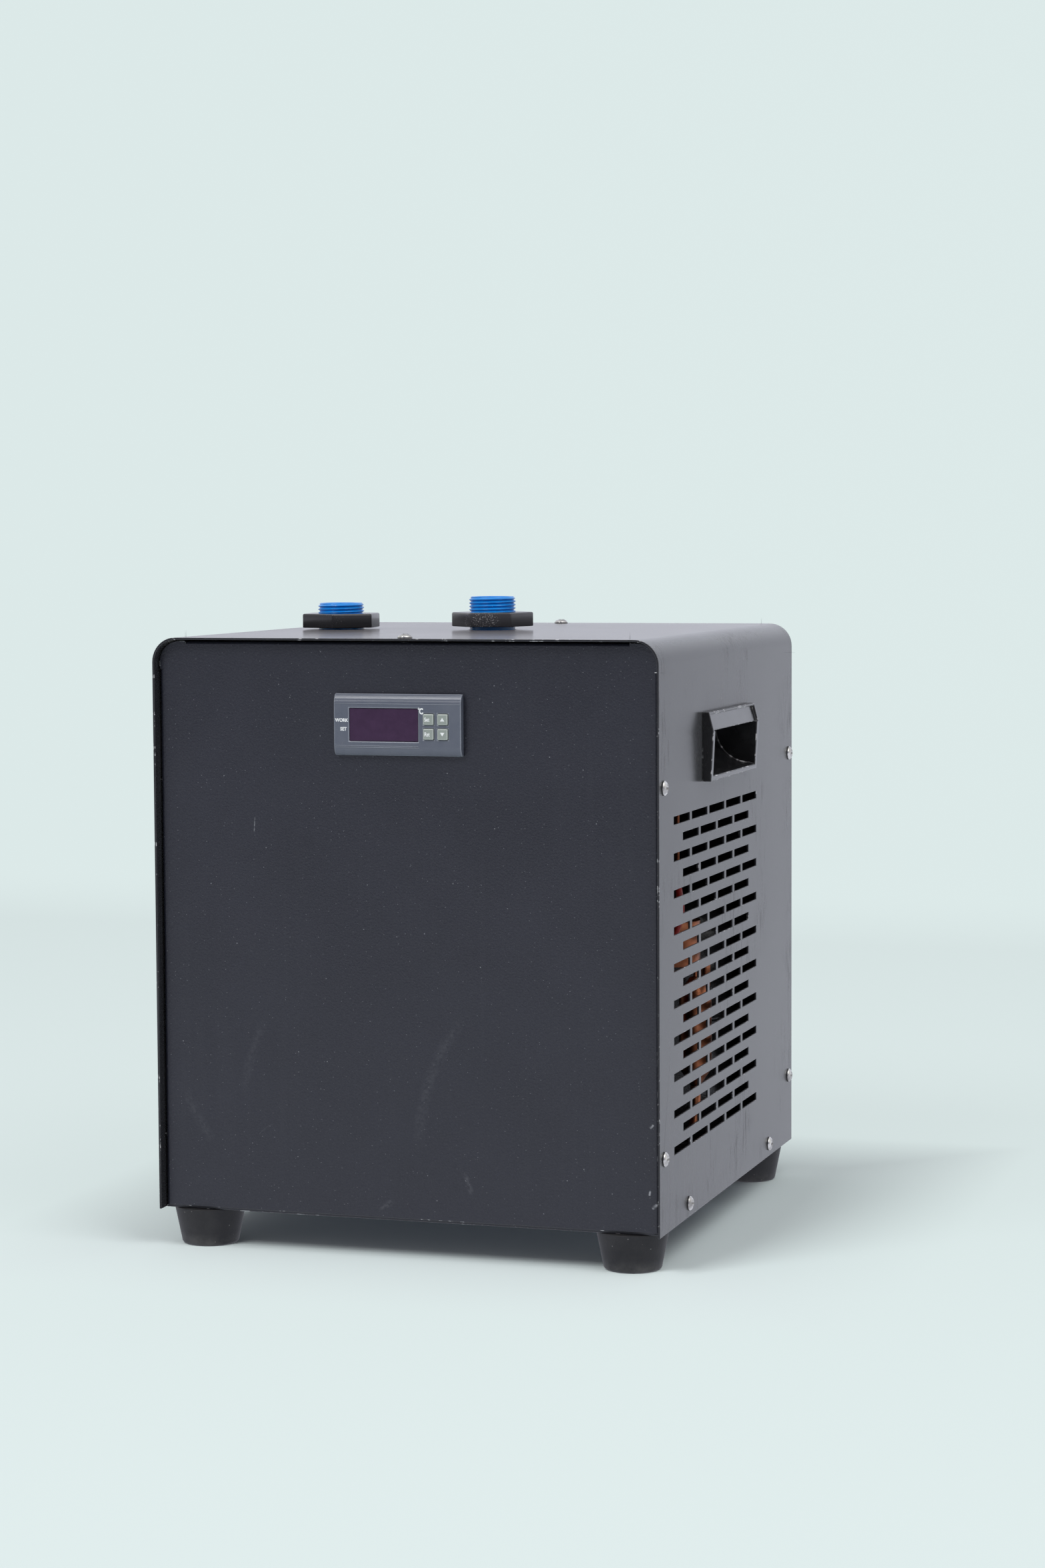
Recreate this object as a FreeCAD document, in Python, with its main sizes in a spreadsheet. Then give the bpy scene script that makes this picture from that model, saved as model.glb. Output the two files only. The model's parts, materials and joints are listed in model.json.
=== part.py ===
"""Aquarium chiller: a folded steel case on four rubber feet, with a temperature controller in front, two
threaded water unions on top, and a small refrigeration circuit inside. Millimetres, +Z up, front at -Y."""

import FreeCAD
import Part
import Sketcher
import math
import os
from FreeCAD import Placement, Rotation, Vector

doc = FreeCAD.newDocument("AquariumChiller")

# The driving dimensions, one row of the sheet each
DIMENSIONS = [
    # Case
    ("width", 298),
    ("depth", 316),
    ("cover_height", 328),
    ("foot_height", 22),
    ("sheet", 1.2),
    ("corner_radius", 14),
    ("panel_recess", 6),
    ("panel_gap", 0.8),
    ("panel_lift", 0.3),
    ("flange_depth", 18),
    ("flange_bend", 2),
    ("notch", 2),
    ("tray_gap", 0.3),
    ("tray_flange", 20),
    ("tray_lip", 14),
    ("fit_gap", 0.3),
    # Vent slots
    ("slot_length", 34.6),
    ("slot_height", 4.5),
    ("slot_pitch", 39.1),
    ("slot_columns", 5),
    ("slot_long_rows", 10),
    ("slots_front", 30.7),
    ("slots_bottom", 40.9),
    ("slots_below_handle", 14.96),
    # Cover screws
    ("screw_radius", 1.9),
    ("screw_head_radius", 4.2),
    ("screw_head_height", 2.6),
    ("screw_length", 8),
    ("hole_gap", 0.25),
    ("pilot_gap", 0.05),
    ("screw_inset", 9.5),
    ("side_screw_drop", 81),
    ("side_screw_low", 42.5),
    ("bottom_screw_height", 8),
    ("bottom_screw_inset", 62),
    # Feet
    ("foot_top_radius", 20.5),
    ("foot_bottom_radius", 16.5),
    ("foot_edge", 2),
    ("foot_inset_x", 22),
    ("foot_inset_y", 23),
    ("foot_bore", 2.2),
    ("foot_counterbore", 5.5),
    ("foot_web", 9),
    ("nut_flats", 7),
    ("nut_height", 3.2),
    # Recessed handles
    ("handle_width", 108.5),
    ("handle_height", 39.5),
    ("handle_drop", 44),
    ("handle_front", 147),
    ("handle_top_out", 4),
    ("handle_lip_out", 6.7),
    ("handle_bottom_out", 5.2),
    ("lip_height", 10.7),
    ("lip_recess", 1.4),
    ("lip_thickness", 4.5),
    ("handle_side", 2.4),
    ("handle_lap", 2),
    ("handle_wall", 2),
    ("handle_depth", 21),
    ("handle_roof", 4),
    ("scoop_radius", 21),
    # Temperature controller
    ("controller_x", -2),
    ("controller_drop", 48),
    ("bezel_width", 75),
    ("bezel_height", 34.5),
    ("bezel_thickness", 5),
    ("bezel_edge", 2.5),
    ("bezel_band", 5.5),
    ("cutout_width", 71),
    ("cutout_height", 29),
    ("case_length", 62),
    ("case_wall", 1.6),
    ("window_width", 40.8),
    ("window_height", 18.6),
    ("window_shift", -8),
    ("window_thickness", 1.5),
    ("window_sunk", 0.6),
    ("window_gap", 0.2),
    ("key_size", 6),
    ("key_gap", 0.15),
    ("key_out", 1),
    ("key_left", 18.6),
    ("key_right", 26.9),
    ("key_upper", 3.35),
    ("key_lower", -4.85),
    ("key_flange", 0.7),
    ("key_flange_height", 0.8),
    ("key_stem", 1.5),
    ("key_stem_length", 2.4),
    ("key_play", 1),
    ("key_seat", 0.1),
    ("switch_height", 2),
    ("board_thickness", 1.6),
    ("clip_thickness", 2.5),
    ("clip_length", 16),
    ("clip_height", 12),
    ("terminal_width", 58),
    ("terminal_height", 11),
    ("terminal_depth", 10),
    # Power inlet
    ("inlet_x", -40),
    ("inlet_height", 50),
    ("inlet_flange_width", 50),
    ("inlet_flange_height", 24),
    ("inlet_flange_thickness", 2.5),
    ("inlet_body_width", 28),
    ("inlet_body_height", 20),
    ("inlet_body_depth", 20),
    ("inlet_cavity_width", 24.4),
    ("inlet_cavity_height", 15.8),
    ("inlet_cavity_depth", 16),
    ("pin_width", 2),
    ("pin_height", 4),
    ("pin_pitch", 7),
    ("pin_rise", 2),
    ("inlet_screw_pitch", 40),
    # Water barrel and its unions
    ("port_left_x", -97),
    ("port_pitch", 97),
    ("port_front", 166),
    ("thread_radius", 14),
    ("neck_radius", 13.6),
    ("union_bore", 10.1),
    ("thread_gap", 0.1),
    ("union_left_rise", 16),
    ("union_right_rise", 20),
    ("lock_nut_flats", 44),
    ("lock_nut_height", 8.5),
    ("lock_nut_edge", 1.2),
    ("nut_left_lift", 1.2),
    ("nut_right_lift", 2.2),
    ("nut_left_turn", 16.4),
    ("nut_right_turn", 4.1),
    ("barrel_radius", 40),
    ("barrel_wall", 4),
    ("barrel_length", 142),
    ("barrel_drop", 52.8),
    ("boss_radius", 19),
    ("boss_drop", 5.8),
    ("cap_radius", 43),
    ("cap_thickness", 7),
    ("insulation", 6),
    ("insulation_gap", 0.1),
    ("coil_outer", 29),
    ("coil_inner", 22),
    ("coil_length", 110),
    ("coil_tail_radius", 3),
    ("tail_offset", 18),
    ("probe_radius", 3),
    ("probe_reach", 12),
    # Shelf that carries the barrel
    ("shelf_depth", 80),
    ("shelf_leg_x", 6.8),
    ("shelf_leg_width", 24),
    ("saddle_length", 25),
    ("saddle_depth", 60),
    ("saddle_height", 20),
    ("saddle_inset", 12),
    ("saddle_base", 8.8),
    # Condenser, fan and motor
    ("condenser_gap", 5.8),
    ("condenser_thickness", 40),
    ("condenser_length", 184),
    ("condenser_lift", 16.8),
    ("bend_clearance", 3),
    ("fin_thickness", 0.4),
    ("fin_count", 45),
    ("fin_inset", 1),
    ("condenser_passes", 5),
    ("tube_radius", 4),
    ("shroud_depth", 22),
    ("fan_opening", 82),
    ("collar_length", 8),
    ("fan_radius", 78),
    ("fan_length", 20),
    ("hub_radius", 23),
    ("blade_count", 5),
    ("blade_thickness", 1.8),
    ("root_chord", 30),
    ("tip_chord", 56),
    ("root_angle", 42),
    ("tip_angle", 24),
    ("blade_bow", 70),
    ("shaft_radius", 3),
    ("shaft_gap", 0.05),
    ("shaft_grip", 12),
    ("motor_gap", 10),
    ("motor_radius", 34),
    ("motor_length", 48),
    ("motor_end", 8),
    ("bracket_thickness", 1.5),
    ("bracket_width", 60),
    ("bracket_foot", 28),
    # Compressor
    ("compressor_side", 69),
    ("compressor_clearance", 28.6),
    ("compressor_radius", 50),
    ("shell_seam", 3),
    ("seam_height", 4),
    ("shell_shoulder", 22),
    ("shell_crown", 8),
    ("mount_width", 120),
    ("mount_depth", 94),
    ("mount_thickness", 2.5),
    ("grommet_height", 12),
    ("grommet_radius", 9),
    ("grommet_cap", 7.5),
    ("grommet_neck", 5),
    ("grommet_cap_height", 3),
    ("grommet_x", 50),
    ("grommet_y", 35),
    ("bolt_radius", 2.9),
    ("bolt_head_height", 2),
    ("cover_box_width", 44),
    ("cover_box_depth", 14),
    ("cover_box_height", 40),
    ("cover_box_rise", 52),
    # Refrigerant pipes and wires
    ("discharge_rise", 32.3),
    ("suction_radius", 5),
    ("suction_drop", 22),
    ("suction_clearance", 14.2),
    ("process_radius", 3),
    ("process_lift", 20),
    ("process_rise", 20),
    ("liquid_radius", 3),
    ("pipe_bend", 12),
    ("pipe_front", 12),
    ("drier_side", 15),
    ("drier_radius", 9.5),
    ("drier_height", 64),
    ("drier_base", 62),
    ("drier_taper", 10),
    ("capillary_radius", 1.2),
    ("capillary_coil_radius", 14.5),
    ("capillary_coil_wall", 5),
    ("capillary_coil_height", 26),
    ("capillary_rise", 7),
    ("lead_radius", 2),
    ("lead_run", 16),
    ("motor_lead_inset", 24),
    ("motor_lead_rise", 44),
    ("shelf_lead_gap", 6),
    ("box_lead_run", 42),
]

SIZES = doc.addObject("Spreadsheet::Sheet", "Sizes")
for row, (alias, number) in enumerate(DIMENSIONS, 1):
    SIZES.set(f"A{row}", alias)
    SIZES.set(f"B{row}", str(number))
    SIZES.setAlias(f"B{row}", alias)
doc.recompute()

PARTS = {}


def value(expression):
    """The number that an expression of the sheet comes to."""
    return float(SIZES.evalExpression(expression))


def bind(thing, expressions):
    """Ties properties of an object to expressions of the sheet."""
    for path, expression in expressions.items():
        thing.setExpression(path, expression)
    return thing


def part(node, thing):
    """Names a finished piece. Its name is the name of its file."""
    thing.Label = node
    PARTS[node] = thing
    return thing


# Helpers for pieces that are padded, pocketed and turned from sketches


def new_body(name):
    return doc.addObject("PartDesign::Body", name)


def sketch_on(body, name, plane, height="0"):
    """A sketch on one of the body's own planes, moved along that plane's normal."""
    sketch = body.newObject("Sketcher::SketchObject", name)
    origin_plane = [f for f in body.Origin.OriginFeatures if f.Role == plane + "_Plane"][0]
    sketch.AttachmentSupport = [(origin_plane, "")]
    sketch.MapMode = "FlatFace"
    bind(sketch, {"AttachmentOffset.Base.z": height})
    return sketch


def pin_point(sketch, geometry, end, x, y):
    """Holds one end of a sketch line or arc, or a circle's centre, at expressions of the sheet."""
    for kind, expression in (("DistanceX", x), ("DistanceY", y)):
        held = Sketcher.Constraint(kind, -1, 1, geometry, end, value(expression))
        index = sketch.addConstraint(held)
        sketch.setExpression(f"Constraints[{index}]", expression)


def outline(sketch, steps):
    """A closed outline. Each step is a corner (x, y), or (x, y, radius, turn) where an arc leads on
    from it to the next corner, turn being 1 counterclockwise and -1 clockwise."""
    first = sketch.GeometryCount
    corners = [Vector(value(s[0]), value(s[1]), 0) for s in steps]
    ends = []
    for index, step in enumerate(steps):
        start = corners[index]
        stop = corners[(index + 1) % len(steps)]
        if len(step) == 2:
            sketch.addGeometry(Part.LineSegment(start, stop), False)
            ends.append((1, 2))
            continue
        radius = value(step[2])
        along = stop - start
        half = along.Length / 2
        rise = math.sqrt(max(radius**2 - half**2, 0.0)) * step[3]
        left = Vector(-along.y, along.x, 0).normalize()
        centre = (start + stop) / 2 + left * rise
        low, high = (start, stop) if step[3] > 0 else (stop, start)
        angles = [math.atan2(p.y - centre.y, p.x - centre.x) for p in (low, high)]
        whole = Part.Circle(centre, Vector(0, 0, 1), radius)
        sketch.addGeometry(Part.ArcOfCircle(whole, angles[0], angles[1]), False)
        ends.append((1, 2) if step[3] > 0 else (2, 1))
        index_of_radius = sketch.addConstraint(
            Sketcher.Constraint("Radius", first + index, radius)
        )
        sketch.setExpression(f"Constraints[{index_of_radius}]", step[2])
    for index, step in enumerate(steps):
        onward = (index + 1) % len(steps)
        joined = Sketcher.Constraint(
            "Coincident", first + index, ends[index][1], first + onward, ends[onward][0]
        )
        sketch.addConstraint(joined)
        pin_point(sketch, first + index, ends[index][0], step[0], step[1])


def rectangle(sketch, left, right, low, high):
    outline(sketch, [(left, low), (right, low), (right, high), (left, high)])


def circle(sketch, x, y, radius):
    whole = Part.Circle(Vector(value(x), value(y), 0), Vector(0, 0, 1), value(radius))
    index = sketch.addGeometry(whole, False)
    pin_point(sketch, index, 3, x, y)
    held = sketch.addConstraint(Sketcher.Constraint("Radius", index, value(radius)))
    sketch.setExpression(f"Constraints[{held}]", radius)


def pad(body, sketch, length, both=False, backward=False):
    feature = body.newObject("PartDesign::Pad", sketch.Name + "_Pad")
    feature.Profile = sketch
    feature.Midplane = both
    feature.Reversed = backward
    bind(feature, {"Length": length})
    doc.recompute()
    return feature


def pocket(body, sketch, length=None):
    """Cuts a sketch right through the body, or as far as length, half to each side of its plane."""
    feature = body.newObject("PartDesign::Pocket", sketch.Name + "_Pocket")
    feature.Profile = sketch
    feature.Midplane = True
    if length is None:
        feature.Type = "ThroughAll"
    else:
        bind(feature, {"Length": length})
    doc.recompute()
    return feature


def revolve(body, sketch):
    """Turns a sketch round its own vertical axis."""
    feature = body.newObject("PartDesign::Revolution", sketch.Name + "_Revolution")
    feature.Profile = sketch
    feature.ReferenceAxis = (sketch, ["V_Axis"])
    feature.Angle = 360
    doc.recompute()
    return feature


def repeat(body, feature, sketch, first, second=None):
    """Repeats a feature along the sketch's axes. first and second are (whole length, copies)."""
    pattern = body.newObject("PartDesign::LinearPattern", feature.Name + "_Pattern")
    pattern.Originals = [feature]
    pattern.Direction = (sketch, ["H_Axis"])
    bind(pattern, {"Length": first[0], "Occurrences": first[1]})
    if second:
        pattern.Direction2 = (sketch, ["V_Axis"])
        bind(pattern, {"Length2": second[0], "Occurrences2": second[1]})
    body.Tip = pattern
    doc.recompute()
    return pattern


# Helpers for pieces made of plain solids


def block(name, x, y, z):
    """A block between pairs of expressions."""
    thing = doc.addObject("Part::Box", name)
    return bind(
        thing,
        {
            "Length": f"({x[1]}) - ({x[0]})",
            "Width": f"({y[1]}) - ({y[0]})",
            "Height": f"({z[1]}) - ({z[0]})",
            "Placement.Base.x": x[0],
            "Placement.Base.y": y[0],
            "Placement.Base.z": z[0],
        },
    )


def rod(name, x, y, z, radius, length, axis="Z"):
    """A cylinder from a point along an axis."""
    thing = doc.addObject("Part::Cylinder", name)
    turned = {"X": Rotation(Vector(0, 1, 0), 90), "Y": Rotation(Vector(1, 0, 0), -90)}
    if axis in turned:
        thing.Placement = Placement(Vector(), turned[axis])
    return bind(
        thing,
        {
            "Radius": radius,
            "Height": length,
            "Placement.Base.x": x,
            "Placement.Base.y": y,
            "Placement.Base.z": z,
        },
    )


def fuse(name, *things):
    thing = doc.addObject("Part::MultiFuse", name)
    thing.Shapes = list(things)
    thing.Refine = True
    return thing


def cut(name, base, *tools):
    thing = doc.addObject("Part::Cut", name)
    thing.Base = base
    thing.Tool = tools[0] if len(tools) == 1 else fuse(name + "_tools", *tools)
    return thing


def copy_of(source, name, x, y, z, rotation=Rotation()):
    """The same piece once more, at another place."""
    thing = doc.addObject("App::Link", name)
    thing.LinkedObject = source
    thing.Placement = Placement(Vector(), rotation)
    return bind(
        thing, {"Placement.Base.x": x, "Placement.Base.y": y, "Placement.Base.z": z}
    )


def group(node, things):
    """Like pieces that share one node, each still a solid of its own."""
    thing = doc.addObject("Part::Compound", node)
    thing.Links = list(things)
    return part(node, thing)


def bent_tube(node, radius, bend, route):
    """A bent tube: straight runs joined by arcs of one bend radius, or less where a run is short."""
    points = [Vector(*(value(c) for c in p)) for p in route]
    edges = []
    start = points[0]
    for before, corner, after in zip(points, points[1:], points[2:]):
        inward = (before - corner).normalize()
        outward = (after - corner).normalize()
        half_turn = (math.pi - inward.getAngle(outward)) / 2
        if half_turn < 0.001:
            continue
        room = 0.45 * min((before - corner).Length, (after - corner).Length)
        reach = min(value(bend) * math.tan(half_turn), room)
        arc_start = corner + inward * reach
        arc_end = corner + outward * reach
        arc_radius = reach / math.tan(half_turn)
        middle = (inward + outward).normalize()
        centre = corner + middle * (arc_radius / math.cos(half_turn))
        arc_middle = centre - middle * arc_radius
        edges.append(Part.LineSegment(start, arc_start).toShape())
        edges.append(Part.Arc(arc_start, arc_middle, arc_end).toShape())
        start = arc_end
    edges.append(Part.LineSegment(start, points[-1]).toShape())
    spine = Part.Wire(edges)
    section = Part.Wire(
        [Part.makeCircle(value(radius), points[0], (points[1] - points[0]).normalize())]
    )
    tube = spine.makePipeShell([section], True, False)
    thing = doc.addObject("Part::Feature", node)
    thing.Shape = tube
    expected = math.pi * value(radius) ** 2 * spine.Length
    print(f"{node}: length {spine.Length:.1f}, volume {tube.Volume / expected:.4f} of its section")
    return thing


# Levels and planes that pieces share
COVER_BOTTOM = "Sizes.foot_height"
COVER_TOP = "(Sizes.foot_height + Sizes.cover_height)"
ROOF = f"({COVER_TOP} - Sizes.sheet)"
TRAY_TOP = "(Sizes.foot_height + Sizes.sheet)"
HALF_WIDTH = "(Sizes.width / 2)"
HALF_DEPTH = "(Sizes.depth / 2)"
WALL_INSIDE = "(Sizes.width / 2 - Sizes.sheet)"
PANEL_FACE = "(Sizes.depth / 2 - Sizes.panel_recess)"
PANEL_BACK = f"({PANEL_FACE} - Sizes.sheet)"
PANEL_SIDE = f"({WALL_INSIDE} - Sizes.panel_gap)"
PANEL_TOP = f"({ROOF} - Sizes.panel_gap)"
PANEL_BOTTOM = f"({TRAY_TOP} + Sizes.panel_lift)"
CORNER_FLAT = "(Sizes.corner_radius + Sizes.notch)"
SCREW_PLANE = "(Sizes.depth / 2 - Sizes.screw_inset)"
SCREW_HIGH = f"({COVER_TOP} - Sizes.side_screw_drop)"
SCREW_LOW = f"({COVER_BOTTOM} + Sizes.side_screw_low)"
SCREW_BASE = f"({COVER_BOTTOM} + Sizes.bottom_screw_height)"
BASE_SCREW_Y = "(Sizes.depth / 2 - Sizes.bottom_screw_inset)"
SCREW_HOLE = "(Sizes.screw_radius + Sizes.hole_gap)"
PILOT_HOLE = "(Sizes.screw_radius + Sizes.pilot_gap)"
PORT_Y = "(Sizes.port_front - Sizes.depth / 2)"
PORT_LEFT = "Sizes.port_left_x"
PORT_RIGHT = "(Sizes.port_left_x + Sizes.port_pitch)"
PORT_MIDDLE = "(Sizes.port_left_x + Sizes.port_pitch / 2)"
PORTS = {"left": PORT_LEFT, "right": PORT_RIGHT}
HANDLE_Y = "(Sizes.handle_front - Sizes.depth / 2)"
HANDLE_TOP = f"({COVER_TOP} - Sizes.handle_drop)"
HANDLE_BOTTOM = f"({HANDLE_TOP} - Sizes.handle_height)"
CONTROLLER_Z = f"({COVER_TOP} - Sizes.controller_drop)"


# The cover: one sheet folded over the top and down both sides, with vent slots, a cut-out for each
# handle, two holes for the unions and the screw holes
cover = new_body("Cover")
profile = sketch_on(cover, "CoverProfile", "XZ")
outer = "Sizes.corner_radius"
inner = "(Sizes.corner_radius - Sizes.sheet)"
outline(
    profile,
    [
        (f"-{HALF_WIDTH}", COVER_BOTTOM),
        (f"-{HALF_WIDTH}", f"{COVER_TOP} - {outer}", outer, -1),
        (f"{outer} - {HALF_WIDTH}", COVER_TOP),
        (f"{HALF_WIDTH} - {outer}", COVER_TOP, outer, -1),
        (HALF_WIDTH, f"{COVER_TOP} - {outer}"),
        (HALF_WIDTH, COVER_BOTTOM),
        (WALL_INSIDE, COVER_BOTTOM),
        (WALL_INSIDE, f"{COVER_TOP} - {outer}", inner, 1),
        (f"{HALF_WIDTH} - {outer}", ROOF),
        (f"{outer} - {HALF_WIDTH}", ROOF, inner, 1),
        (f"-{WALL_INSIDE}", f"{COVER_TOP} - {outer}"),
        (f"-{WALL_INSIDE}", COVER_BOTTOM),
    ],
)
pad(cover, profile, "Sizes.depth", both=True)


slots_start = "(Sizes.slots_front - Sizes.depth / 2)"
slots_base = f"({COVER_BOTTOM} + Sizes.slots_bottom)"
slots_rise = f"({HANDLE_BOTTOM} - Sizes.slots_below_handle - Sizes.slot_height - {slots_base})"
slot_row_pitch = f"({slots_rise} / (2 * (Sizes.slot_long_rows - 1)))"


def slot_rows(name, front, bottom, columns, rows):
    """Rows of vent slots pressed through both side walls, every second row of the whole field."""
    sketch = sketch_on(cover, name, "YZ")
    rectangle(
        sketch, front, f"{front} + Sizes.slot_length", bottom, f"{bottom} + Sizes.slot_height"
    )
    first = pocket(cover, sketch)
    columns_length = f"Sizes.slot_pitch * ({columns} - 1)"
    rows_length = f"2 * {slot_row_pitch} * ({rows} - 1)"
    repeat(cover, first, sketch, (columns_length, columns), (rows_length, rows))


slot_rows("LongRows", slots_start, slots_base, "Sizes.slot_columns", "Sizes.slot_long_rows")
slot_rows(
    "ShortRows",
    f"({slots_start} + Sizes.slot_pitch / 2)",
    f"({slots_base} + {slot_row_pitch})",
    "(Sizes.slot_columns - 1)",
    "(Sizes.slot_long_rows - 1)",
)

handle_holes = sketch_on(cover, "HandleHoles", "YZ")
handle_half = "(Sizes.handle_width / 2 - Sizes.handle_lap + Sizes.fit_gap)"
rectangle(
    handle_holes,
    f"{HANDLE_Y} - {handle_half}",
    f"{HANDLE_Y} + {handle_half}",
    f"{HANDLE_BOTTOM} + Sizes.handle_lap - Sizes.fit_gap",
    f"{HANDLE_TOP} - Sizes.handle_lap + Sizes.fit_gap",
)
pocket(cover, handle_holes)

side_holes = sketch_on(cover, "SideHoles", "YZ")
for side in ("-", ""):
    for level in (SCREW_HIGH, SCREW_LOW):
        circle(side_holes, side + SCREW_PLANE, level, SCREW_HOLE)
    circle(side_holes, side + BASE_SCREW_Y, SCREW_BASE, SCREW_HOLE)
pocket(cover, side_holes)

top_holes = sketch_on(cover, "TopHoles", "XY")
for side in ("-", ""):
    circle(top_holes, "0", side + SCREW_PLANE, SCREW_HOLE)
for port in PORTS.values():
    circle(top_holes, port, PORT_Y, "Sizes.thread_radius + Sizes.fit_gap")
pocket(cover, top_holes)
part("wrap_cover", cover)


# The front and rear panels: flat sheets with flanges folded back at the sides and the top, cut away
# round the two upper corners
def panel(name, turned):
    """A panel as the front one. The rear one is the same, turned half round."""
    body = new_body(name)
    body.Placement = Placement(Vector(), Rotation(Vector(0, 0, 1), 180 if turned else 0))
    flat = f"({PANEL_SIDE} - Sizes.flange_bend)"
    top_flat = f"({PANEL_TOP} - Sizes.flange_bend)"
    notch_x = f"({PANEL_SIDE} - {CORNER_FLAT})"
    notch_z = f"({PANEL_TOP} - {CORNER_FLAT})"
    corner = "(Sizes.corner_radius - Sizes.sheet - Sizes.panel_gap)"
    face = sketch_on(body, name + "Face", "XZ", PANEL_FACE)
    outline(
        face,
        [
            (f"-{flat}", PANEL_BOTTOM),
            (flat, PANEL_BOTTOM),
            (flat, notch_z),
            (PANEL_SIDE, notch_z),
            (PANEL_SIDE, f"{PANEL_TOP} - {corner}", corner, 1),
            (f"{PANEL_SIDE} - {corner}", PANEL_TOP),
            (notch_x, PANEL_TOP),
            (notch_x, top_flat),
            (f"-{notch_x}", top_flat),
            (f"-{notch_x}", PANEL_TOP),
            (f"{corner} - {PANEL_SIDE}", PANEL_TOP, corner, 1),
            (f"-{PANEL_SIDE}", f"{PANEL_TOP} - {corner}"),
            (f"-{PANEL_SIDE}", notch_z),
            (f"-{flat}", notch_z),
        ],
    )
    pad(body, face, "Sizes.sheet", backward=True)
    bend = "Sizes.flange_bend"
    bend_inside = "(Sizes.flange_bend - Sizes.sheet)"
    back_edge = f"(Sizes.flange_depth - {PANEL_FACE})"
    inside = f"({PANEL_SIDE} - Sizes.sheet)"
    sides = sketch_on(body, name + "Sides", "XY", PANEL_BOTTOM)
    for sign, turn in (("-", -1), ("", 1)):
        outline(
            sides,
            [
                (f"{sign}{flat}", f"-{PANEL_FACE}", bend, turn),
                (f"{sign}{PANEL_SIDE}", f"{bend} - {PANEL_FACE}"),
                (f"{sign}{PANEL_SIDE}", back_edge),
                (f"{sign}{inside}", back_edge),
                (f"{sign}{inside}", f"{bend} - {PANEL_FACE}", bend_inside, -turn),
                (f"{sign}{flat}", f"Sizes.sheet - {PANEL_FACE}"),
            ],
        )
    pad(body, sides, f"{notch_z} - {PANEL_BOTTOM}")
    top = sketch_on(body, name + "Top", "YZ")
    outline(
        top,
        [
            (f"-{PANEL_FACE}", top_flat, bend, -1),
            (f"{bend} - {PANEL_FACE}", PANEL_TOP),
            (back_edge, PANEL_TOP),
            (back_edge, f"{PANEL_TOP} - Sizes.sheet"),
            (f"{bend} - {PANEL_FACE}", f"{PANEL_TOP} - Sizes.sheet", bend_inside, 1),
            (f"Sizes.sheet - {PANEL_FACE}", top_flat),
        ],
    )
    pad(body, top, f"2 * {notch_x}", both=True)
    pilots = sketch_on(body, name + "SidePilots", "YZ")
    for level in (SCREW_HIGH, SCREW_LOW):
        circle(pilots, f"-{SCREW_PLANE}", level, PILOT_HOLE)
    pocket(body, pilots)
    top_pilot = sketch_on(body, name + "TopPilot", "XY")
    circle(top_pilot, "0", f"-{SCREW_PLANE}", PILOT_HOLE)
    pocket(body, top_pilot)
    return body


front_panel = panel("FrontPanel", False)
controller_hole = sketch_on(front_panel, "ControllerHole", "XZ")
rectangle(
    controller_hole,
    "Sizes.controller_x - Sizes.cutout_width / 2",
    "Sizes.controller_x + Sizes.cutout_width / 2",
    f"{CONTROLLER_Z} - Sizes.cutout_height / 2",
    f"{CONTROLLER_Z} + Sizes.cutout_height / 2",
)
pocket(front_panel, controller_hole)
part("front_panel", front_panel)

# In the rear panel's own frame, before its half turn, the inlet is at the mirrored x
INLET_Z = f"({COVER_BOTTOM} + Sizes.inlet_height)"
rear_panel = panel("RearPanel", True)
inlet_hole = sketch_on(rear_panel, "InletHole", "XZ")
inlet_half = "(Sizes.inlet_body_width / 2 + Sizes.fit_gap)"
inlet_half_height = "(Sizes.inlet_body_height / 2 + Sizes.fit_gap)"
rectangle(
    inlet_hole,
    f"-Sizes.inlet_x - {inlet_half}",
    f"{inlet_half} - Sizes.inlet_x",
    f"{INLET_Z} - {inlet_half_height}",
    f"{INLET_Z} + {inlet_half_height}",
)
for side in ("-", "+"):
    circle(
        inlet_hole, f"-Sizes.inlet_x {side} Sizes.inlet_screw_pitch / 2", INLET_Z, PILOT_HOLE
    )
pocket(rear_panel, inlet_hole)
part("rear_panel", rear_panel)


# The base tray: the sheet that everything stands on, with flanges up the sides and lips behind the
# panels, and holes for the feet and for the compressor's bolts
FOOT_X = f"({HALF_WIDTH} - Sizes.foot_inset_x)"
FOOT_Y = f"({HALF_DEPTH} - Sizes.foot_inset_y)"
COMPRESSOR_X = "(Sizes.width / 2 - Sizes.compressor_side)"
COMPRESSOR_Y = f"({PANEL_BACK} - Sizes.compressor_clearance - Sizes.compressor_radius)"
tray_side = f"({WALL_INSIDE} - Sizes.tray_gap)"
tray_end = f"({PANEL_BACK} - Sizes.tray_gap)"
flange_end = "(Sizes.depth / 2 - Sizes.panel_recess - Sizes.flange_depth - Sizes.notch)"
lip_side = f"({PANEL_SIDE} - Sizes.sheet - Sizes.flange_bend)"

tray = new_body("Tray")
plate = sketch_on(tray, "TrayPlate", "XY", COVER_BOTTOM)
rectangle(plate, f"-{tray_side}", tray_side, f"-{tray_end}", tray_end)
pad(tray, plate, "Sizes.sheet")
flanges = sketch_on(tray, "TrayFlanges", "XY", COVER_BOTTOM)
rectangle(flanges, f"-{tray_side}", f"Sizes.sheet - {tray_side}", f"-{flange_end}", flange_end)
rectangle(flanges, f"{tray_side} - Sizes.sheet", tray_side, f"-{flange_end}", flange_end)
pad(tray, flanges, "Sizes.tray_flange")
lips = sketch_on(tray, "TrayLips", "XY", COVER_BOTTOM)
rectangle(lips, f"-{lip_side}", lip_side, f"-{tray_end}", f"Sizes.sheet - {tray_end}")
rectangle(lips, f"-{lip_side}", lip_side, f"{tray_end} - Sizes.sheet", tray_end)
pad(tray, lips, "Sizes.tray_lip")
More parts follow.
